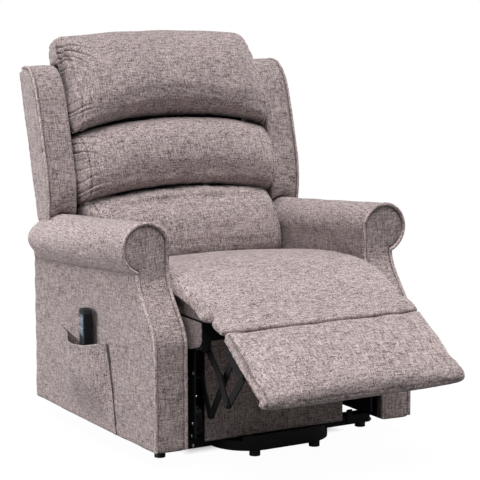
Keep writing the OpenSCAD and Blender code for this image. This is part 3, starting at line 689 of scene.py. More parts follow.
def studs(name, points, radius, height, finish, body):
    """Rivet or screw heads at (place, direction) pairs."""
    obj = mesh_object(name, [p for p, _ in points])
    facing = obj.data.attributes.new("facing", "FLOAT_VECTOR", "POINT")
    facing.data.foreach_set("vector", [c for _, d in points for c in d])
    return grown(obj, stud_graph(), finish, body, Radius=radius, Height=height)


# ---- Settings ----


def length(name, description, default):
    return FloatProperty(name=name, description=description, unit="LENGTH", default=default)


def tone(name, description, default, low, high):
    return FloatProperty(name=name, description=description, default=default, min=low, max=high)


def yarn_colour(name, description, default):
    return FloatVectorProperty(name=name, description=description, subtype="COLOR", default=default, min=0, max=1)


class ReclinerCover(PropertyGroup):
    pale: yarn_colour("Pale yarn", "Colour of the lighter yarns", (0.520, 0.436, 0.428))
    dark: yarn_colour("Dark yarn", "Colour of the darker yarns", (0.120, 0.091, 0.091))
    # Painted light and shade: one cloth in three tones, the arms and back darker, the seat and footrest paler for
    # the light on their tops, the piping palest for the light on its crest.
    body_painted_tone: tone("Body tone", "Tone of the cover on the arms and back", 0.91, 0.6, 1.3)
    seat_painted_tone: tone("Seat tone", "How much paler the seat and footrest are", 1.0, 0.8, 1.3)
    welt_painted_tone: tone("Piping tone", "How much paler the piping is", 1.12, 0.7, 1.3)
    yarn: length("Slub width", "Width of a slub in the weave", 0.0030)
    slub: length("Slub length", "Length of a slub in the weave", 0.022)
    thread: length("Thread pitch", "Spacing of the woven threads", 0.0018)


class ReclinerCushion(PropertyGroup):
    voxel: length("Cover mesh", "Size of the faces the covers are simulated with", 0.0062)
    pressure: FloatProperty(name="Filling pressure", description="Air pressure that stands in for the filling",
                            default=4.0, min=0)
    frames: IntProperty(name="Settling frames", description="Frames that a cover settles for", default=18, min=2)
    slack: length("Slack", "How far a cover starts inside its final form", 0.006)
    overlap: length("Overlap", "How far back cushions press past their seams", 0.009)
    proud: length("Proud", "How far a cover may stand outside its solid", 0.002)


class ReclinerTrim(PropertyGroup):
    arm_welt: length("Arm piping", "Radius of the piping on the arms", 0.0048)
    wing_welt: length("Wing piping", "Radius of the piping on the wings", 0.0034)
    stitch_pitch: length("Stitch pitch", "Spacing of the stitches", 0.0052)
    stitch_length: length("Stitch length", "Length of one stitch", 0.0036)
    stitch_radius: length("Stitch thickness", "Radius of the seam thread", 0.00055)
    link_edge: length("Link edge", "How far a link's pressed edge stands out", 0.003)
    rivet: length("Rivet head", "Radius of a rivet head on the links", 0.0065)
    screw: length("Screw head", "Radius of a pale screw head", 0.0048)


class ReclinerStage(PropertyGroup):
    focal: FloatProperty(name="Focal length", description="Camera focal length in widths of its picture",
                         default=1828.3 / 480)
    key: FloatProperty(name="Key light", description="Strength of the broad lamp above the chair", default=3.7)
    side: FloatProperty(name="Side lights", description="Power of each soft box beside the chair", unit="POWER",
                        default=42)
    sky: FloatProperty(name="Sky", description="Strength of the light from all round", default=0.32)


# ---- Operators ----

CAMERA_SPOT = (-2.3601, -4.1972 + ORIGIN_Y / 1000, 1.2326)
CAMERA_DOWN, CAMERA_RIGHT = 8.836, 30.357  # degrees
SENSOR = 36
KEY_WAY, KEY_SPREAD = (0.12, 0.30, -1), math.radians(42)
SOFT_BOXES = (("left_box", (-2.7, 0.55, 0.62), 1.5), ("right_box", (2.7, 0.55, 0.62), 1.5),
              ("rear_box", (0, 3.2, 0.95), 2.2))  # name, spot and width, metres
SOFT_BOX_HIGH = 0.7
FLOOR_HALF, FLOOR_TONES = 9, (0.16, 0.9)  # its tone for bounced light and for the camera
PATCH_Y, PATCH_ACROSS, PATCH_ALONG = 0.14, (0.15, 0.24), (0.18, 0.27)  # the floor's dark patch, metres


def aimed(lamp, way, spot=(0, 0, 0)):
    """A lamp at a spot that shines along a direction."""
    turn = Vector(way).to_track_quat("-Z", "Y").to_euler()
    assign(link(bpy.data.objects.new(lamp.name, lamp)), location=spot, rotation_euler=turn)


class RECLINER_OT_stage(Operator):
    """Sets the camera, the pale floor and the soft studio light"""

    bl_idname = "recliner.stage"
    bl_label = "Stage"

    def execute(self, context):
        scene, look = context.scene, context.scene.recliner_stage
        lens = assign(bpy.data.cameras.new("camera"), sensor_width=SENSOR, lens=look.focal * SENSOR, clip_end=60)
        scene.camera = assign(link(bpy.data.objects.new("camera", lens)), location=CAMERA_SPOT,
                              rotation_euler=(math.radians(90 - CAMERA_DOWN), 0, math.radians(-CAMERA_RIGHT)))
        scene.view_settings.view_transform = "Standard"

        aimed(assign(bpy.data.lights.new("key", "SUN"), energy=look.key, angle=KEY_SPREAD), KEY_WAY)
        for name, spot, wide in SOFT_BOXES:
            box = assign(bpy.data.lights.new(name, "AREA"), shape="RECTANGLE", size=wide, size_y=SOFT_BOX_HIGH,
                         energy=look.side)
            aimed(box, (-spot[0], -spot[1] * 0.2, 0), spot)

        scene.world = assign(bpy.data.worlds.new("studio"), use_nodes=True)
        sky = Tree(scene.world.node_tree)
        light = sky.nodes["Background"]
        light.inputs["Color"].default_value = (1, 1, 1, 1)
        light.inputs["Strength"].default_value = look.sky
        rays = sky.add("LightPath").outputs
        seen = sky.math("MAXIMUM", rays["Is Camera Ray"], rays["Is Transmission Ray"])
        white = sky.add("Background", {"Color": (1, 1, 1, 1)})
        sky.feed(sky.nodes["World Output"].inputs["Surface"], sky.over(seen, light, white))

        h = FLOOR_HALF
        floor = mesh_object("floor", [(-h, -h, 0), (h, -h, 0), (h, h, 0), (-h, h, 0)], [(0, 1, 2, 3)])
        floor.data.materials.append(self.floor_paint())
        return {"FINISHED"}

    @staticmethod
    def floor_paint():
        """A matt floor that looks white round the chair and stays in shade under it."""
        s = Shader("pale_floor")
        seen = s.add("LightPath").outputs["Is Camera Ray"]
        tone = s.spread(seen, 0, 1, *FLOOR_TONES)
        grain = s.math("ADD", tone, s.math("MULTIPLY", s.noise(3, 2), 0.01))
        s.set(Base_Color=grain, Roughness=0.95, Specular_IOR_Level=0.1)
        x, y, _ = s.add("SeparateXYZ", {0: s.coords}).outputs
        across = s.spread(s.math("ABSOLUTE", x), *PATCH_ACROSS)
        along_it = s.spread(s.math("ABSOLUTE", s.math("SUBTRACT", y, PATCH_Y)), *PATCH_ALONG)
        share = s.math("MULTIPLY", seen, s.math("MULTIPLY", s.math("MAXIMUM", across, along_it), 0.975))
        glow = s.add("Emission", {"Strength": 1.0})
        s.feed(s.nodes["Material Output"].inputs["Surface"], s.over(share, s.surface, glow))
        return s.material


def arm_front_y(z):
    """The arm's front edge at height z, mm: straight up, then an S back to the roll."""
    return ARM_FRONT + ARM_SETBACK * ease(z, 300, 470)


def ease(value, low, high):
    """0 to 1 while value goes from low to high, slow at both ends."""
    t = min(max((value - low) / (high - low), 0), 1)
    return t * t * (3 - 2 * t)


def arm_welt_path(side):
    """From the foot up the outer edge, round the roll's face and down the inner edge."""
    ring, beside = ROLL_R - ARM_WELT_INSET, ARM_WELT_INSET * 0.7
    outer, inner = ARM_OUT - beside, ARM_IN + beside
    under = -math.sqrt(ring**2 - (outer - ROLL_X) ** 2)
    path = [(outer, arm_front_y(z) + beside, z) for z in np.linspace(ARM_FOOT, ROLL_Z + under - 6, 60)]
    first = math.atan2(under, outer - ROLL_X)
    last = math.pi - math.asin(0.31)
    path += [(ROLL_X + ring * math.cos(a), ARM_HIGH_FRONT - 0.2, ROLL_Z + ring * math.sin(a))
             for a in np.linspace(first, last, 60)]
    path += [(inner, arm_front_y(z) + beside, z) for z in np.linspace(path[-1][2] - 6, ARM_FOOT, 60)]
    return [place(side * x, y, z) for x, y, z in path]


class RECLINER_OT_arms(Operator):
    """Covers both arms, rolls and S-shaped fronts included, and pipes their front edges"""

    bl_idname = "recliner.arms"
    bl_label = "Arms"

    def execute(self, context):
        trim = context.scene.recliner_trim
        for node, side in (("arm_left", -1), ("arm_right", 1)):
            obj = remeshed(copy_nodes(node + "_cover", node), context.scene.recliner_cushion.voxel, 7)
            path = arm_welt_path(side)
            for near in (0.016, 0.013):
                refined(obj, path_distance(points_of(obj), path) < near)
            co = points_of(obj)
            x, y, z = co.T * 1000
            away = path_distance(co, path)
            past_roll = (co[:, 0] - place(side * ROLL_X, 0, 0).x) * side
            roll_z = (ROLL_Z - (y - ORIGIN_Y - ARM_HIGH_FRONT) * math.tan(ROLL_FALL)) / 1000
            tuck = np.hypot(past_roll * 1000 - (ARM_OUT - ROLL_X), (co[:, 2] - roll_z) * 1000 + 61)
            fold = groove(tuck, 9, 0.003) * (past_roll > 0.005)
            ruck = 0.0011 * np.sin(y / 5.2 + np.sin(x / 9)) * line(away, 0.02) * (co[:, 2] > 0.47)
            pushed(obj, waves(x, y, z * 1.5, 110) * 0.0014 + groove(away, 0.007, 0.0024) + fold + ruck)
            # Painted shade: dark lines beside the piping and in the tuck under the roll, and darkness over the
            # arm's inner face below the roll, where it lies in shade.
            shade_beside_welt = line(away - trim.arm_welt - 0.0012, 0.0016)
            inner = (np.abs(x) < ARM_IN + 3) * rise(420 - z, 25)
            paint_shade(obj, 0.5 * shade_beside_welt + 0.55 * line(tuck, 7) * (fold < -1e-4) + 0.8 * inner)
            co = points_of(obj)
            above = co[:, 2] * 1000 - ROLL_Z
            outer = rise(co[:, 1] * 1000 - ORIGIN_Y + 200, 240) * rise(np.abs(co[:, 0]) - 0.335, 0.05)
            shifted(obj, x=side * 0.009 * outer * line(above + 36, 44), z=-0.007 * outer * rise(above + 90, 90))
            finished(obj, "fabric", "carriage", node)
            lined(obj, self.hidden)
            welt(node + "_piping", path, trim.arm_welt, "carriage")
        return {"FINISHED"}

    @staticmethod
    def hidden(centre, normal):
        """The lower part of the inner face, behind the front board, and the underside."""
        low = abs(centre.x) * 1000 < ARM_IN + 2.6 and centre.z < 0.36
        return (low and centre.y * 1000 > ARM_FRONT + 27 + ORIGIN_Y) or (normal.z < -0.7 and centre.z < 0.07)


WING_PROFILE = [(200, 169), (180, 164), (163, 161), (150, 161), (138, 164), (128, 173), (117, 193), (109, 222),
                (105, 260), (104, 330), (103, 400), (104, 455), (108, 490), (118, 520), (133, 543), (152, 556),
                (175, 562), (200, 563)]
WING_OUT, WING_TAPER, WING_FRONT, POST_BACK = 392, 14, 103, 220.8
WING_CENTRE, WING_DRAW, WING_WELT_INSET = (170, 360), 0.985, 4
WING_VOXEL = 0.005


def wing_sag(x, z):
    """How far the lower edge of a wing hangs over the roll of its arm, metres."""
    return rise(BACK_ZERO / 1000 + 0.22 - z, 0.07) * (0.005 + 0.020 * rise(np.abs(x) - 0.345, 0.035))


def wing_welt_path(side):
    """Round the front of a wing's outer face, bottom to top, drawn in towards its centre."""
    path = []
    for y, z in WING_PROFILE:
        y, z = (c + (p - c) * WING_DRAW for p, c in zip((y, z), WING_CENTRE))
        x = WING_OUT - WING_WELT_INSET - WING_TAPER * (y - WING_FRONT) / (POST_BACK - WING_FRONT)
        drop = 0.85 * (ROLL_R - math.sqrt(max(0, ROLL_R**2 - (x - ROLL_X) ** 2))) if z < 180 else 0
        p = back_place(side * x, y, z - drop)
        p.z -= wing_sag(p.x, p.z)
        path.append(p)
    return path


class RECLINER_OT_wings(Operator):
    """Covers both wings of the back and pipes the edges of their outer faces"""

    bl_idname = "recliner.wings"
    bl_label = "Wings"

    def execute(self, context):
        for node, side in (("wing_left", -1), ("wing_right", 1)):
            obj = remeshed(copy_nodes(node + "_cover", node), WING_VOXEL, 5)
            co = points_of(obj)
            co[:, 2] -= wing_sag(co[:, 0], co[:, 2])
            move_to(obj, co)
            path = wing_welt_path(side)
            refined(obj, path_distance(co, path) < 0.012)
            co = points_of(obj)
            away = path_distance(co, path)
            pushed(obj, waves(*(co.T * 1000), 120) * 0.0015 + groove(away, 0.006, 0.0026))
            # Painted shade: a dark line beside the piping.
            paint_shade(obj, 0.75 * line(away - 0.0045, 0.0022))
            finished(obj, "back_fabric", "back", node)
            welt(node + "_piping", path, context.scene.recliner_trim.wing_welt, "back")
        return {"FINISHED"}


def over_seams(x, z, seams=tuple(SEAM_FALL.items())):
    """How far above each of the back's cross seams a point is, mm; a seam has a height and a fall."""
    return [z - (height - fall * (x / CUSHION_HW) ** 2) for height, fall in seams]


# Gathers at the ends of the cushions: from (x, z) to (x, z) of the back, width, depth, mm
TOP_FOLDS = (
    (-287, 604, -212, 574, 3.4, 4.6), (-289, 590, -220, 546, 3.0, 5.0), (-291, 577, -238, 528, 2.8, 4.4),
    (-292, 564, -252, 520, 2.6, 3.2), (-293, 540, -268, 504, 2.4, 2.0), (-296, 436, -262, 440, 2.6, 2.0),
    (-297, 414, -246, 424, 3.0, 3.2), (-292, 405, -230, 414, 2.8, 2.4),
    (286, 604, 246, 580, 2.8, 2.4), (296, 432, 264, 438, 2.6, 1.6), (296, 411, 248, 420, 3.0, 2.4),
)
MIDDLE_FOLDS = (
    (-295, 350, -226, 330, 3.0, 3.0), (-296, 331, -240, 306, 2.8, 3.0), (-296, 306, -236, 280, 3.0, 3.4),
    (-296, 284, -250, 270, 2.4, 2.0), (-296, 258, -246, 252, 2.6, 2.4), (-296, 226, -244, 238, 2.8, 2.2),
    (-296, 200, -226, 216, 3.0, 2.8), (-290, 190, -222, 200, 2.6, 2.2),
    (296, 340, 256, 328, 2.8, 1.6), (296, 210, 254, 220, 2.8, 1.8),
)
BOTTOM_FOLDS = ((-279, 168, -238, 158, 2.8, 1.8), (279, 168, 244, 158, 2.8, 1.6), (279, 118, 256, 110, 2.6, 1.2))


class RECLINER_OT_back_cushions(Operator):
    """Fills the three back cushions, with their drawn-in seams, gathers and end seams"""

    bl_idname = "recliner.back_cushions"
    bl_label = "Back cushions"

    def execute(self, context):
        style = context.scene.recliner_cushion
        for node, hw, low, high, folds in (
            ("bottom_cushion", 281, -30, SEAM_LOW, BOTTOM_FOLDS),
            ("middle_cushion", 298, SEAM_LOW, SEAM_HIGH, MIDDLE_FOLDS),
            ("top_cushion", 299, SEAM_HIGH, BACK_TOP, TOP_FOLDS),
        ):
            obj = copy_nodes(node + "_cover", node)
            self.stretch(obj, hw, low, high, style.overlap * 1000)
            remeshed(obj, style.voxel, 2)
            kept_islands(obj)
            inflated(obj, style, 1, 2.6, self.front_only)
            co = points_of(obj)
            x, _, z = back_coords(co)
            inside = np.all([np.abs(above) > 30 for above in over_seams(x, z)], axis=0)
            co[inside] = held(co[inside], cad_tree(node), style.proud)
            move_to(obj, co)
            self.fill_out(obj)
            subdivided(smoothed(obj, 6))
            x, y, z = back_coords(points_of(obj))
            refined(obj, (np.abs(folded(x, z, folds)) > 0.0002) & (y < CUSHION_FRONT))
            co = points_of(obj)
            x, y, z = back_coords(co)
            wrinkle = np.sin(x / 4.1 + 2.6 * np.sin(x / 31)) * (0.6 + 0.4 * np.sin(x / 57 + 1))
            puckers = sum(0.0011 * wrinkle * line(above, 13) for above in over_seams(x, z, PUCKERED))
            end_seam = groove(np.abs(x) - (hw - 19 + 0.02 * (z - low)), 2.6, 0.0016) * (np.abs(x) > 200)
            creases = folded(x, z, folds)
            uneven = waves(x, y, z * 1.3, 130) * 0.0016
            pushed(obj, (puckers + creases + end_seam + uneven) * self.front_only(co))
            # Painted shade: darker in the gathers and along the end seams and the cross seams.
            dark = np.clip(-creases / 0.0042, 0, 0.75) + 0.5 * rise(-end_seam, 0.0016) ** 2
            dark += sum(0.5 * line(above, 3) for above in over_seams(x, z))
            paint_shade(obj, dark * (y < CUSHION_FRONT))
            if high == BACK_TOP:  # its top edge sinks in the middle
                shifted(obj, z=-0.0075 * (1 - (x / 215) ** 2) * rise(z - 540, 90) * (np.abs(x) < 303))
            finished(obj, "back_fabric", "back", node)
        return {"FINISHED"}

    @staticmethod
    def fill_out(obj):
        """Brings the cover forward above its seams, so that it turns in late and sharply."""
        x, y, z = back_coords(points_of(obj))
        lift = sum(0.009 * line(above - 13, 17) * (above > 0) for above in over_seams(x, z))
        lift *= rise(165 - y, 20) * rise(300 - np.abs(x), 30)
        shifted(obj, y=-lift * math.cos(LEAN), z=lift * math.sin(LEAN))

    @staticmethod
    def stretch(obj, hw, low, high, extra):
        """Lengthens a cushion past its seams, so that neighbours meet in a closed seam."""
        co = points_of(obj)
        x, _, z = back_coords(co)
        move = np.zeros(len(co))
        for seam, way in ((low, -1), (high, 1)):
            if seam in SEAM_FALL:
                away = np.abs(over_seams(x, z, [(seam, SEAM_FALL[seam])])[0])
                more = extra * (2.3 - 1.3 * (x / hw) ** 2 if high == SEAM_LOW else 1)
                move += way * more * (0.4 * np.clip(1 - away / 130, 0, 1) + line(away, 30)) / 1000
        co[:, 1] += move * math.sin(LEAN)
        co[:, 2] += move * math.cos(LEAN)
        if high == SEAM_LOW:
            co[:, 0] *= 1 + 0.056 * rise(z - 150, 26)
        move_to(obj, co)

    @staticmethod
    def front_only(co):
        """1 over a cushion's front, sides and top, 0 over the rear that lies on the frame."""
        _, y, z = back_coords(co)
        return np.maximum(rise(168 - y, 14), rise(z - 622, 10))


# The lower edge of the cover at the seat's sides, mm: how far forward, and how high
SKIRT = ((312, 380, 420, 470, 500, 540, 570), (424, 410, 395, 376, 368, 360, 354))


class RECLINER_OT_seat(Operator):
    """Covers the seat pad and its nose in one skin that bends down to the footrest's seam"""

    bl_idname = "recliner.seat"
    bl_label = "Seat"

    def execute(self, context):
        style = context.scene.recliner_cushion
        obj = remeshed(copy_nodes("seat_cover", "seat_pad", "leg_flap"), style.voxel, 4)
        kept_islands(obj)
        inflated(obj, style, 0.8, 2.0, self.upper)
        move_to(obj, held(points_of(obj), cad_tree("seat_pad", "leg_flap"), style.proud * 0.5))
        subdivided(obj)
        co = points_of(obj)
        x, y, z = coords(co)
        side_seam = groove(np.abs(x) - 268, 2.8, 0.0012) * (y < -250)
        pushed(obj, (waves(x, y * 1.2, z, 150) * 0.0016 + side_seam) * self.upper(co))
        x, y, z = coords(points_of(obj))
        # Below the skirt line the seat's side is drawn inward and painted with shade, for the shade under the top's
        # edge.
        under = rise(np.interp(-y, *SKIRT) - z, 9) * rise(-y - 300, 40) * rise(np.abs(x) - 235, 30)
        shifted(obj, x=-np.sign(x) * 0.012 * under)
        paint_shade(obj, 0.85 * under)
        finished(obj, "seat_fabric", None, "seat_pad", "leg_flap")
        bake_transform(obj)
        return {"FINISHED"}

    @staticmethod
    def upper(co):
        """1 over the top and the nose, 0 over what lies on the frame."""
        _, y, z = coords(co)
        return np.maximum(rise(z - 374, 16), rise(-y - 470, 10) * rise(z + y * 0.6 - 60, 16))


class RECLINER_OT_footrest(Operator):
    """Fills the footrest pad, with the sewn line that runs inside its edges"""

    bl_idname = "recliner.footrest"
    bl_label = "Footrest"

    def execute(self, context):
        style = context.scene.recliner_cushion
        obj = copy_nodes("footrest_cover", "footrest_pad")
        self.lengthen(obj)
        remeshed(obj, style.voxel * 0.9, 4)
        inflated(obj, style, 0.4, 1.6, self.upper)
        subdivided(smoothed(obj, 5))
        x, y, z = foot_coords(points_of(obj))
        front, side = -FOOT_LEN - 9, FOOT_W / 2 - 11
        refined(obj, (np.minimum(np.abs(y - front), np.abs(np.abs(x) - side)) < 7) & (z > -22))
        co = points_of(obj)
        x, y, z = foot_coords(co)
        seam = np.maximum(
            line(y - front, 2.8) * (np.abs(x) < side + 3),
            line(np.abs(x) - side, 2.4) * (y > front - 3) * (y < -16),
        ) * rise(z + 22, 8)
        wrinkle = np.sin(x / 3.9 + 2 * np.sin(x / 40)) * line(y - front, 9) * rise(z + 22, 8)
        pushed(obj, (waves(x, y, z, 140) * 0.0016 + 0.0008 * wrinkle) * self.upper(co) - 0.0026 * seam)
        # Painted shade along the sewn line inside the edges.
        paint_shade(obj, 0.62 * seam)
        finished(obj, "foot_fabric", "footrest", "footrest_pad")
        return {"FINISHED"}

    @staticmethod
    def lengthen(obj):
        """Draws the nose forward and rolls its lower edge back underneath."""
        co = points_of(obj)
        _, y, z = foot_coords(co)
        nose = rise(-y - 120, FOOT_LEN - 120)
        back = rise(-14 - z, 18) * rise(-y - FOOT_LEN + 40, 30)
        forth = (-24 * nose**1.5 + 24 * back**1.3) / 1000
        down = -0.009 * nose
        co[:, 1] += forth * math.cos(FOOT_SLOPE) - down * math.sin(FOOT_SLOPE)
        co[:, 2] += forth * math.sin(FOOT_SLOPE) + down * math.cos(FOOT_SLOPE)
        co[:, 0] *= 1 + 0.012 * nose
        move_to(obj, co)

    @staticmethod
    def upper(co):
        """1 over the top and the nose, 0 over the underside."""
        _, y, z = foot_coords(co)
        return np.maximum(rise(z + 21, 8), rise(-y - FOOT_LEN + 26, 8) * rise(z + 34, 8))


def draped(name, node, cut, depth, size):
    """A thin panel from a node, cut into small faces and made slightly uneven along X."""
    obj = copy_nodes(name, node)
    with edited(obj) as bm:
        for _ in range(6):
            long = [e for e in bm.edges if e.calc_length() > cut]
            if not long:
                break
            bmesh.ops.subdivide_edges(bm, edges=long, cuts=1)
            bmesh.ops.triangulate(bm, faces=[f for f in bm.faces if len(f.verts) > 3])
    x, y, z = points_of(obj).T
    shifted(obj, x=-np.sign(x) * (waves(0, y * 1000, z * 1000, size) + 1) / 2 * depth)
    return obj


class RECLINER_OT_panels(Operator):
    """Covers the outside back, rear panel, front board and seat sides, and hangs the linings"""

    bl_idname = "recliner.panels"
    bl_label = "Panels and linings"

    def execute(self, context):
        for node, voxel, body in (
            ("outside_back", 0.0058, "back"),
            ("rear_panel", 0.005, "carriage"),
            ("front_board", 0.004, "carriage"),
        ):
            obj = remeshed(copy_nodes(node + "_cover", node), voxel, 2)
            pushed(obj, waves(*(points_of(obj).T * 1000), 160) * 0.0012)
            finished(obj, "fabric", body, node)
            if node == "front_board":
                lined(obj, lambda centre, _: abs(centre.x) > 0.2035 or centre.y > (-333 + ORIGIN_Y) / 1000)
        for name, node, cut, depth, size, shade, finish, body in (
            ("seat_side_panels", "seat_side_covers", 0.02, 0.0012, 90, 0.62, "fabric", "carriage"),
            ("arm_inner_linings", "arm_linings", 0.03, 0.0010, 120, 0, "lining", "carriage"),
            ("back_straps", "back_webbing", 0.04, 0.0, 100, 0, "webbing", "back"),
        ):
            obj = draped(name, node, cut, depth, size)
            # Painted shade: the seat side panels are darkened all over for the shade they lie in.
            if shade:
                paint_shade(obj, np.full(len(obj.data.vertices), shade))
            finished(obj, finish, body, node)
        return {"FINISHED"}


POCKET_TOP = [(130, 270), (105, 267), (70, 259), (29, 253), (-27, 251), (-85, 258), (-125, 267), (-156, 274)]
POCKET_FOOT = 46


def pocket_top(y):
    return float(np.interp(y, *zip(*reversed(POCKET_TOP))))


def pocket_edges(t):
    """The y of the pocket's front and rear edge, at the share t of its height."""
    return -198 + 42 * t, 126 + 4 * t


def pocket_place(y, z, edge, more=0):
    """On the pocket's face, which bulges over the handset and at its front edge; edge is the way from that."""
    across = ease(y, -176, -101) * (1 - ease(y, -12, 100))
    out = 1.1 + 35.6 * across * ease(z, 56, 188) + 1.6 * math.exp(-((edge / 7) ** 2))
    return place(-(ARM_OUT + out + more), y, z)


class RECLINER_OT_pocket(Operator):
    """Sews the side pocket, with its hem and the bulge that the handset makes"""

    bl_idname = "recliner.pocket"
    bl_label = "Side pocket"

    def execute(self, context):
        across, up = 96, 64
        verts = []
        for j in range(up + 1):
            t = j / up
            front, rear = pocket_edges(t)
            for i in range(across + 1):
                y = front + (rear - front) * i / across
                z = POCKET_FOOT + (pocket_top(y) - POCKET_FOOT) * t
                verts.append(pocket_place(y, z, y - front, 0.9 if t > 0.955 else 0))
        wide = across + 1
        faces = [(j * wide + i, (j + 1) * wide + i, (j + 1) * wide + i + 1, j * wide + i + 1)
                 for j in range(up) for i in range(across)]
        obj = mesh_object("side_pocket_cover", verts, faces)
        with edited(obj) as bm:
            bmesh.ops.recalc_face_normals(bm, faces=bm.faces)
            if sum(f.normal.x for f in bm.faces) > 0:
                bmesh.ops.reverse_faces(bm, faces=bm.faces)
        shaded(modified(obj, "SOLIDIFY", thickness=0.002, offset=1))
        finished(obj, "fabric", "carriage", "side_pocket")
        hem = []
        for y in np.linspace(-150, 124, 70):
            z = pocket_top(y) - 9
            front, _ = pocket_edges((z - POCKET_FOOT) / (pocket_top(y) - POCKET_FOOT))
            hem.append(pocket_place(y, z, y - front, 2.2))
        flat = -(ARM_OUT + 3.3)
        rear = [place(flat, 121 + 4 * t, 50 + 212 * t) for t in np.linspace(0, 1, 30)]
        foot = [place(flat, y, 52) for y in np.linspace(-190, 118, 40)]
        stitches("side_pocket_stitches", [hem, rear, foot], context.scene.recliner_trim, "carriage")
        return {"FINISHED"}


HAND_TURN = math.radians(13)
HAND_X, HAND_Y, HAND_Z = -392.2, -60, 190
HAND_T, HAND_L = 22, 156
BUTTON_X, BUTTON_UP_Z, BUTTON_DOWN_Z = 11, HAND_L - 29, HAND_L - 53


def hand_place(x, y, z):
    """A point of the handset's own frame: -y out of its button face, z up."""
    a = -math.pi / 2 - HAND_TURN
    return place(HAND_X + x * math.cos(a) - y * math.sin(a), HAND_Y + x * math.sin(a) + y * math.cos(a), HAND_Z + z)


class RECLINER_OT_handset(Operator):
    """Rounds off the handset and its four buttons, each with an arrow"""

    bl_idname = "recliner.handset"
    bl_label = "Handset"

    def execute(self, context):
        shell = remeshed(copy_nodes("handset_shell", "handset_case"), 0.0012, 3)
        finished(shell, "handset_plastic", "handset", "handset_case")
        for node, side, up in (("button_back_up", -1, 1), ("button_back_down", -1, -1),
                               ("button_lift_up", 1, 1), ("button_lift_down", 1, -1)):
            cap = modified(copy_nodes(node + "_cap", node), "BEVEL", width=0.0013, segments=3, limit_method="ANGLE")
            finished(cap, "button_plastic", node, node)
            z = BUTTON_UP_Z if up > 0 else BUTTON_DOWN_Z
            arrow = [hand_place(side * BUTTON_X + dx, -HAND_T / 2 - 2.4 + dy, z + dz * up)
                     for dy in (0.1, -0.35) for dx, dz in ((-3.4, -2.2), (3.4, -2.2), (0, 3.4))]
            mark = mesh_object(node + "_arrow", arrow,
                               [(0, 2, 1), (3, 4, 5), (0, 1, 4, 3), (1, 2, 5, 4), (2, 0, 3, 5)])
            with edited(mark) as bm:
                bmesh.ops.recalc_face_normals(bm, faces=bm.faces)
            finished(mark, "panel_plastic", node)
        return {"FINISHED"}


# The footrest's links, mm: the (y, z) of their pins, the inner layer's x, the layers' step and thickness
FRONT_PIN, UPPER_PIN, REAR_PIN, LOWER_PIN = (-585, 258), (-407, 303), (-525, 302), (-366, 211)
VERTEX = tuple(u + f - h for u, f, h in zip(UPPER_PIN, FRONT_PIN, HINGE))
ELBOW = tuple(lo + r - h for lo, r, h in zip(LOWER_PIN, REAR_PIN, HINGE))
LINK_X0, LINK_LAYER, LINK_T = 220.5, 5, 4
PLATE_X = 262.1
PLATE_SCREWS = ((-389, 228), (-384, 101), (-379, 69.5), (-387, 47))


class RECLINER_OT_fasteners(Operator):
    """Presses the footrest's links and sets rivet heads on them and screws in the side plates"""

    bl_idname = "recliner.fasteners"
    bl_label = "Links, rivets and screws"

    def execute(self, context):
        trim = context.scene.recliner_trim
        for body in ("upper_leg", "front_leg", "lower_leg", "long_leg"):
            self.broad(body + "_links", body, trim.link_edge)
        for name, body, finish, x, pins, way, radius, height in (
            ("footrest_rivets", "footrest", "black_steel", LINK_X0 + 4 * LINK_LAYER + LINK_T,
             (FRONT_PIN, REAR_PIN), 1, trim.rivet * 0.85, 0.25),
            ("front_leg_rivets", "front_leg", "black_steel", LINK_X0 + 3 * LINK_LAYER + LINK_T + 2.2,
             (VERTEX,), 1, trim.rivet, 0.45),
            ("side_plate_screws", "carriage", "bright_steel", PLATE_X, PLATE_SCREWS, 1, trim.screw, 0.5),
            ("long_leg_rivets", "long_leg", "black_steel", LINK_X0, (REAR_PIN, ELBOW), -1, trim.rivet, 0.35),
        ):
            points = [(place(s * x, *pin), (s * way, 0, 0)) for s in (-1, 1) for pin in pins]
            studs(name, points, radius, height, finish, body)
        return {"FINISHED"}

    @staticmethod
    def broad(node, body, extra):
        """A link with pressed, rounded edges, broader than its flat strip but for its pin holes."""
        obj = copy_nodes(node + "_pressed", node)
        pins = [place(0, *p) for p in (FRONT_PIN, UPPER_PIN, REAR_PIN, LOWER_PIN, VERTEX, ELBOW)]
        with edited(obj) as bm:
            moves = {}
            for v in bm.verts:
                if min(math.hypot(v.co.y - p.y, v.co.z - p.z) for p in pins) < 0.0072:
                    continue
                out = Vector((0, 0, 0))
                for f in v.link_faces:
                    if abs(f.normal.x) < 0.5:
                        out += f.normal * f.calc_area()
                out.x = 0
                if out.length:
                    moves[v] = out.normalized() * extra
            for v, move in moves.items():
                v.co += move
        modified(obj, "BEVEL", width=0.0008, segments=2, limit_method="ANGLE", angle_limit=math.radians(50))
        finished(obj, "black_steel", body, node)


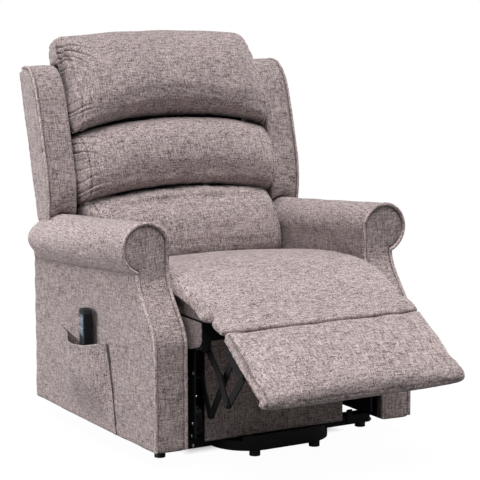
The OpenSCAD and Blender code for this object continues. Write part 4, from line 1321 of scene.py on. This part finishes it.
class RECLINER_OT_frame(Operator):
    """Paints the steel frame, the motors, the timber and the other solids that show as they are"""

    bl_idname = "recliner.frame"
    bl_label = "Frame and motors"

    def execute(self, context):
        wrapped = {"seat_side_rails", "seat_cross_rails", "back_posts"}
        for part in FRAME["record"]["subparts"]:
            node = NODES[part["node"]]
            if node.hide_render:
                continue
            paint = finishes()["lining" if part["node"] in wrapped else part["material_slot"]]
            if not node.material_slots:
                raise RuntimeError(f"{part['node']} has no material slot")
            for slot in node.material_slots:
                slot.material = paint
        return {"FINISHED"}


class RECLINER_PT_sidebar(Panel):
    """Lists the chair's sizes, colours and pieces"""

    bl_idname = "RECLINER_PT_sidebar"
    bl_label = "Lift recliner chair"
    bl_space_type = "VIEW_3D"
    bl_region_type = "UI"
    bl_category = "Recliner"

    def draw(self, context):
        for title, group, _ in SETTINGS:
            box = self.layout.box()
            box.label(text=title)
            settings = getattr(context.scene, group)
            for name in settings.bl_rna.properties.keys():
                if name not in {"rna_type", "name"}:
                    box.prop(settings, name)
        for operator in PIECES:
            self.layout.operator(operator.bl_idname)


SETTINGS = (("Cover", "recliner_cover", ReclinerCover), ("Cushions", "recliner_cushion", ReclinerCushion),
            ("Trim", "recliner_trim", ReclinerTrim), ("Stage", "recliner_stage", ReclinerStage))
PIECES = (RECLINER_OT_stage, RECLINER_OT_arms, RECLINER_OT_wings, RECLINER_OT_back_cushions, RECLINER_OT_seat,
          RECLINER_OT_footrest, RECLINER_OT_panels, RECLINER_OT_pocket, RECLINER_OT_handset,
          RECLINER_OT_fasteners, RECLINER_OT_frame)
CLASSES = tuple(group for _, _, group in SETTINGS) + PIECES + (RECLINER_PT_sidebar,)


def register():
    for cls in CLASSES:
        bpy.utils.register_class(cls)
    for _, name, group in SETTINGS:
        setattr(bpy.types.Scene, name, PointerProperty(type=group))


def unregister():
    for _, name, _ in SETTINGS:
        delattr(bpy.types.Scene, name)
    for cls in reversed(CLASSES):
        bpy.utils.unregister_class(cls)


def main():
    register()
    for operator in PIECES:
        group, name = operator.bl_idname.split(".")
        getattr(getattr(bpy.ops, group), name)()


if __name__ == "__main__":
    main()
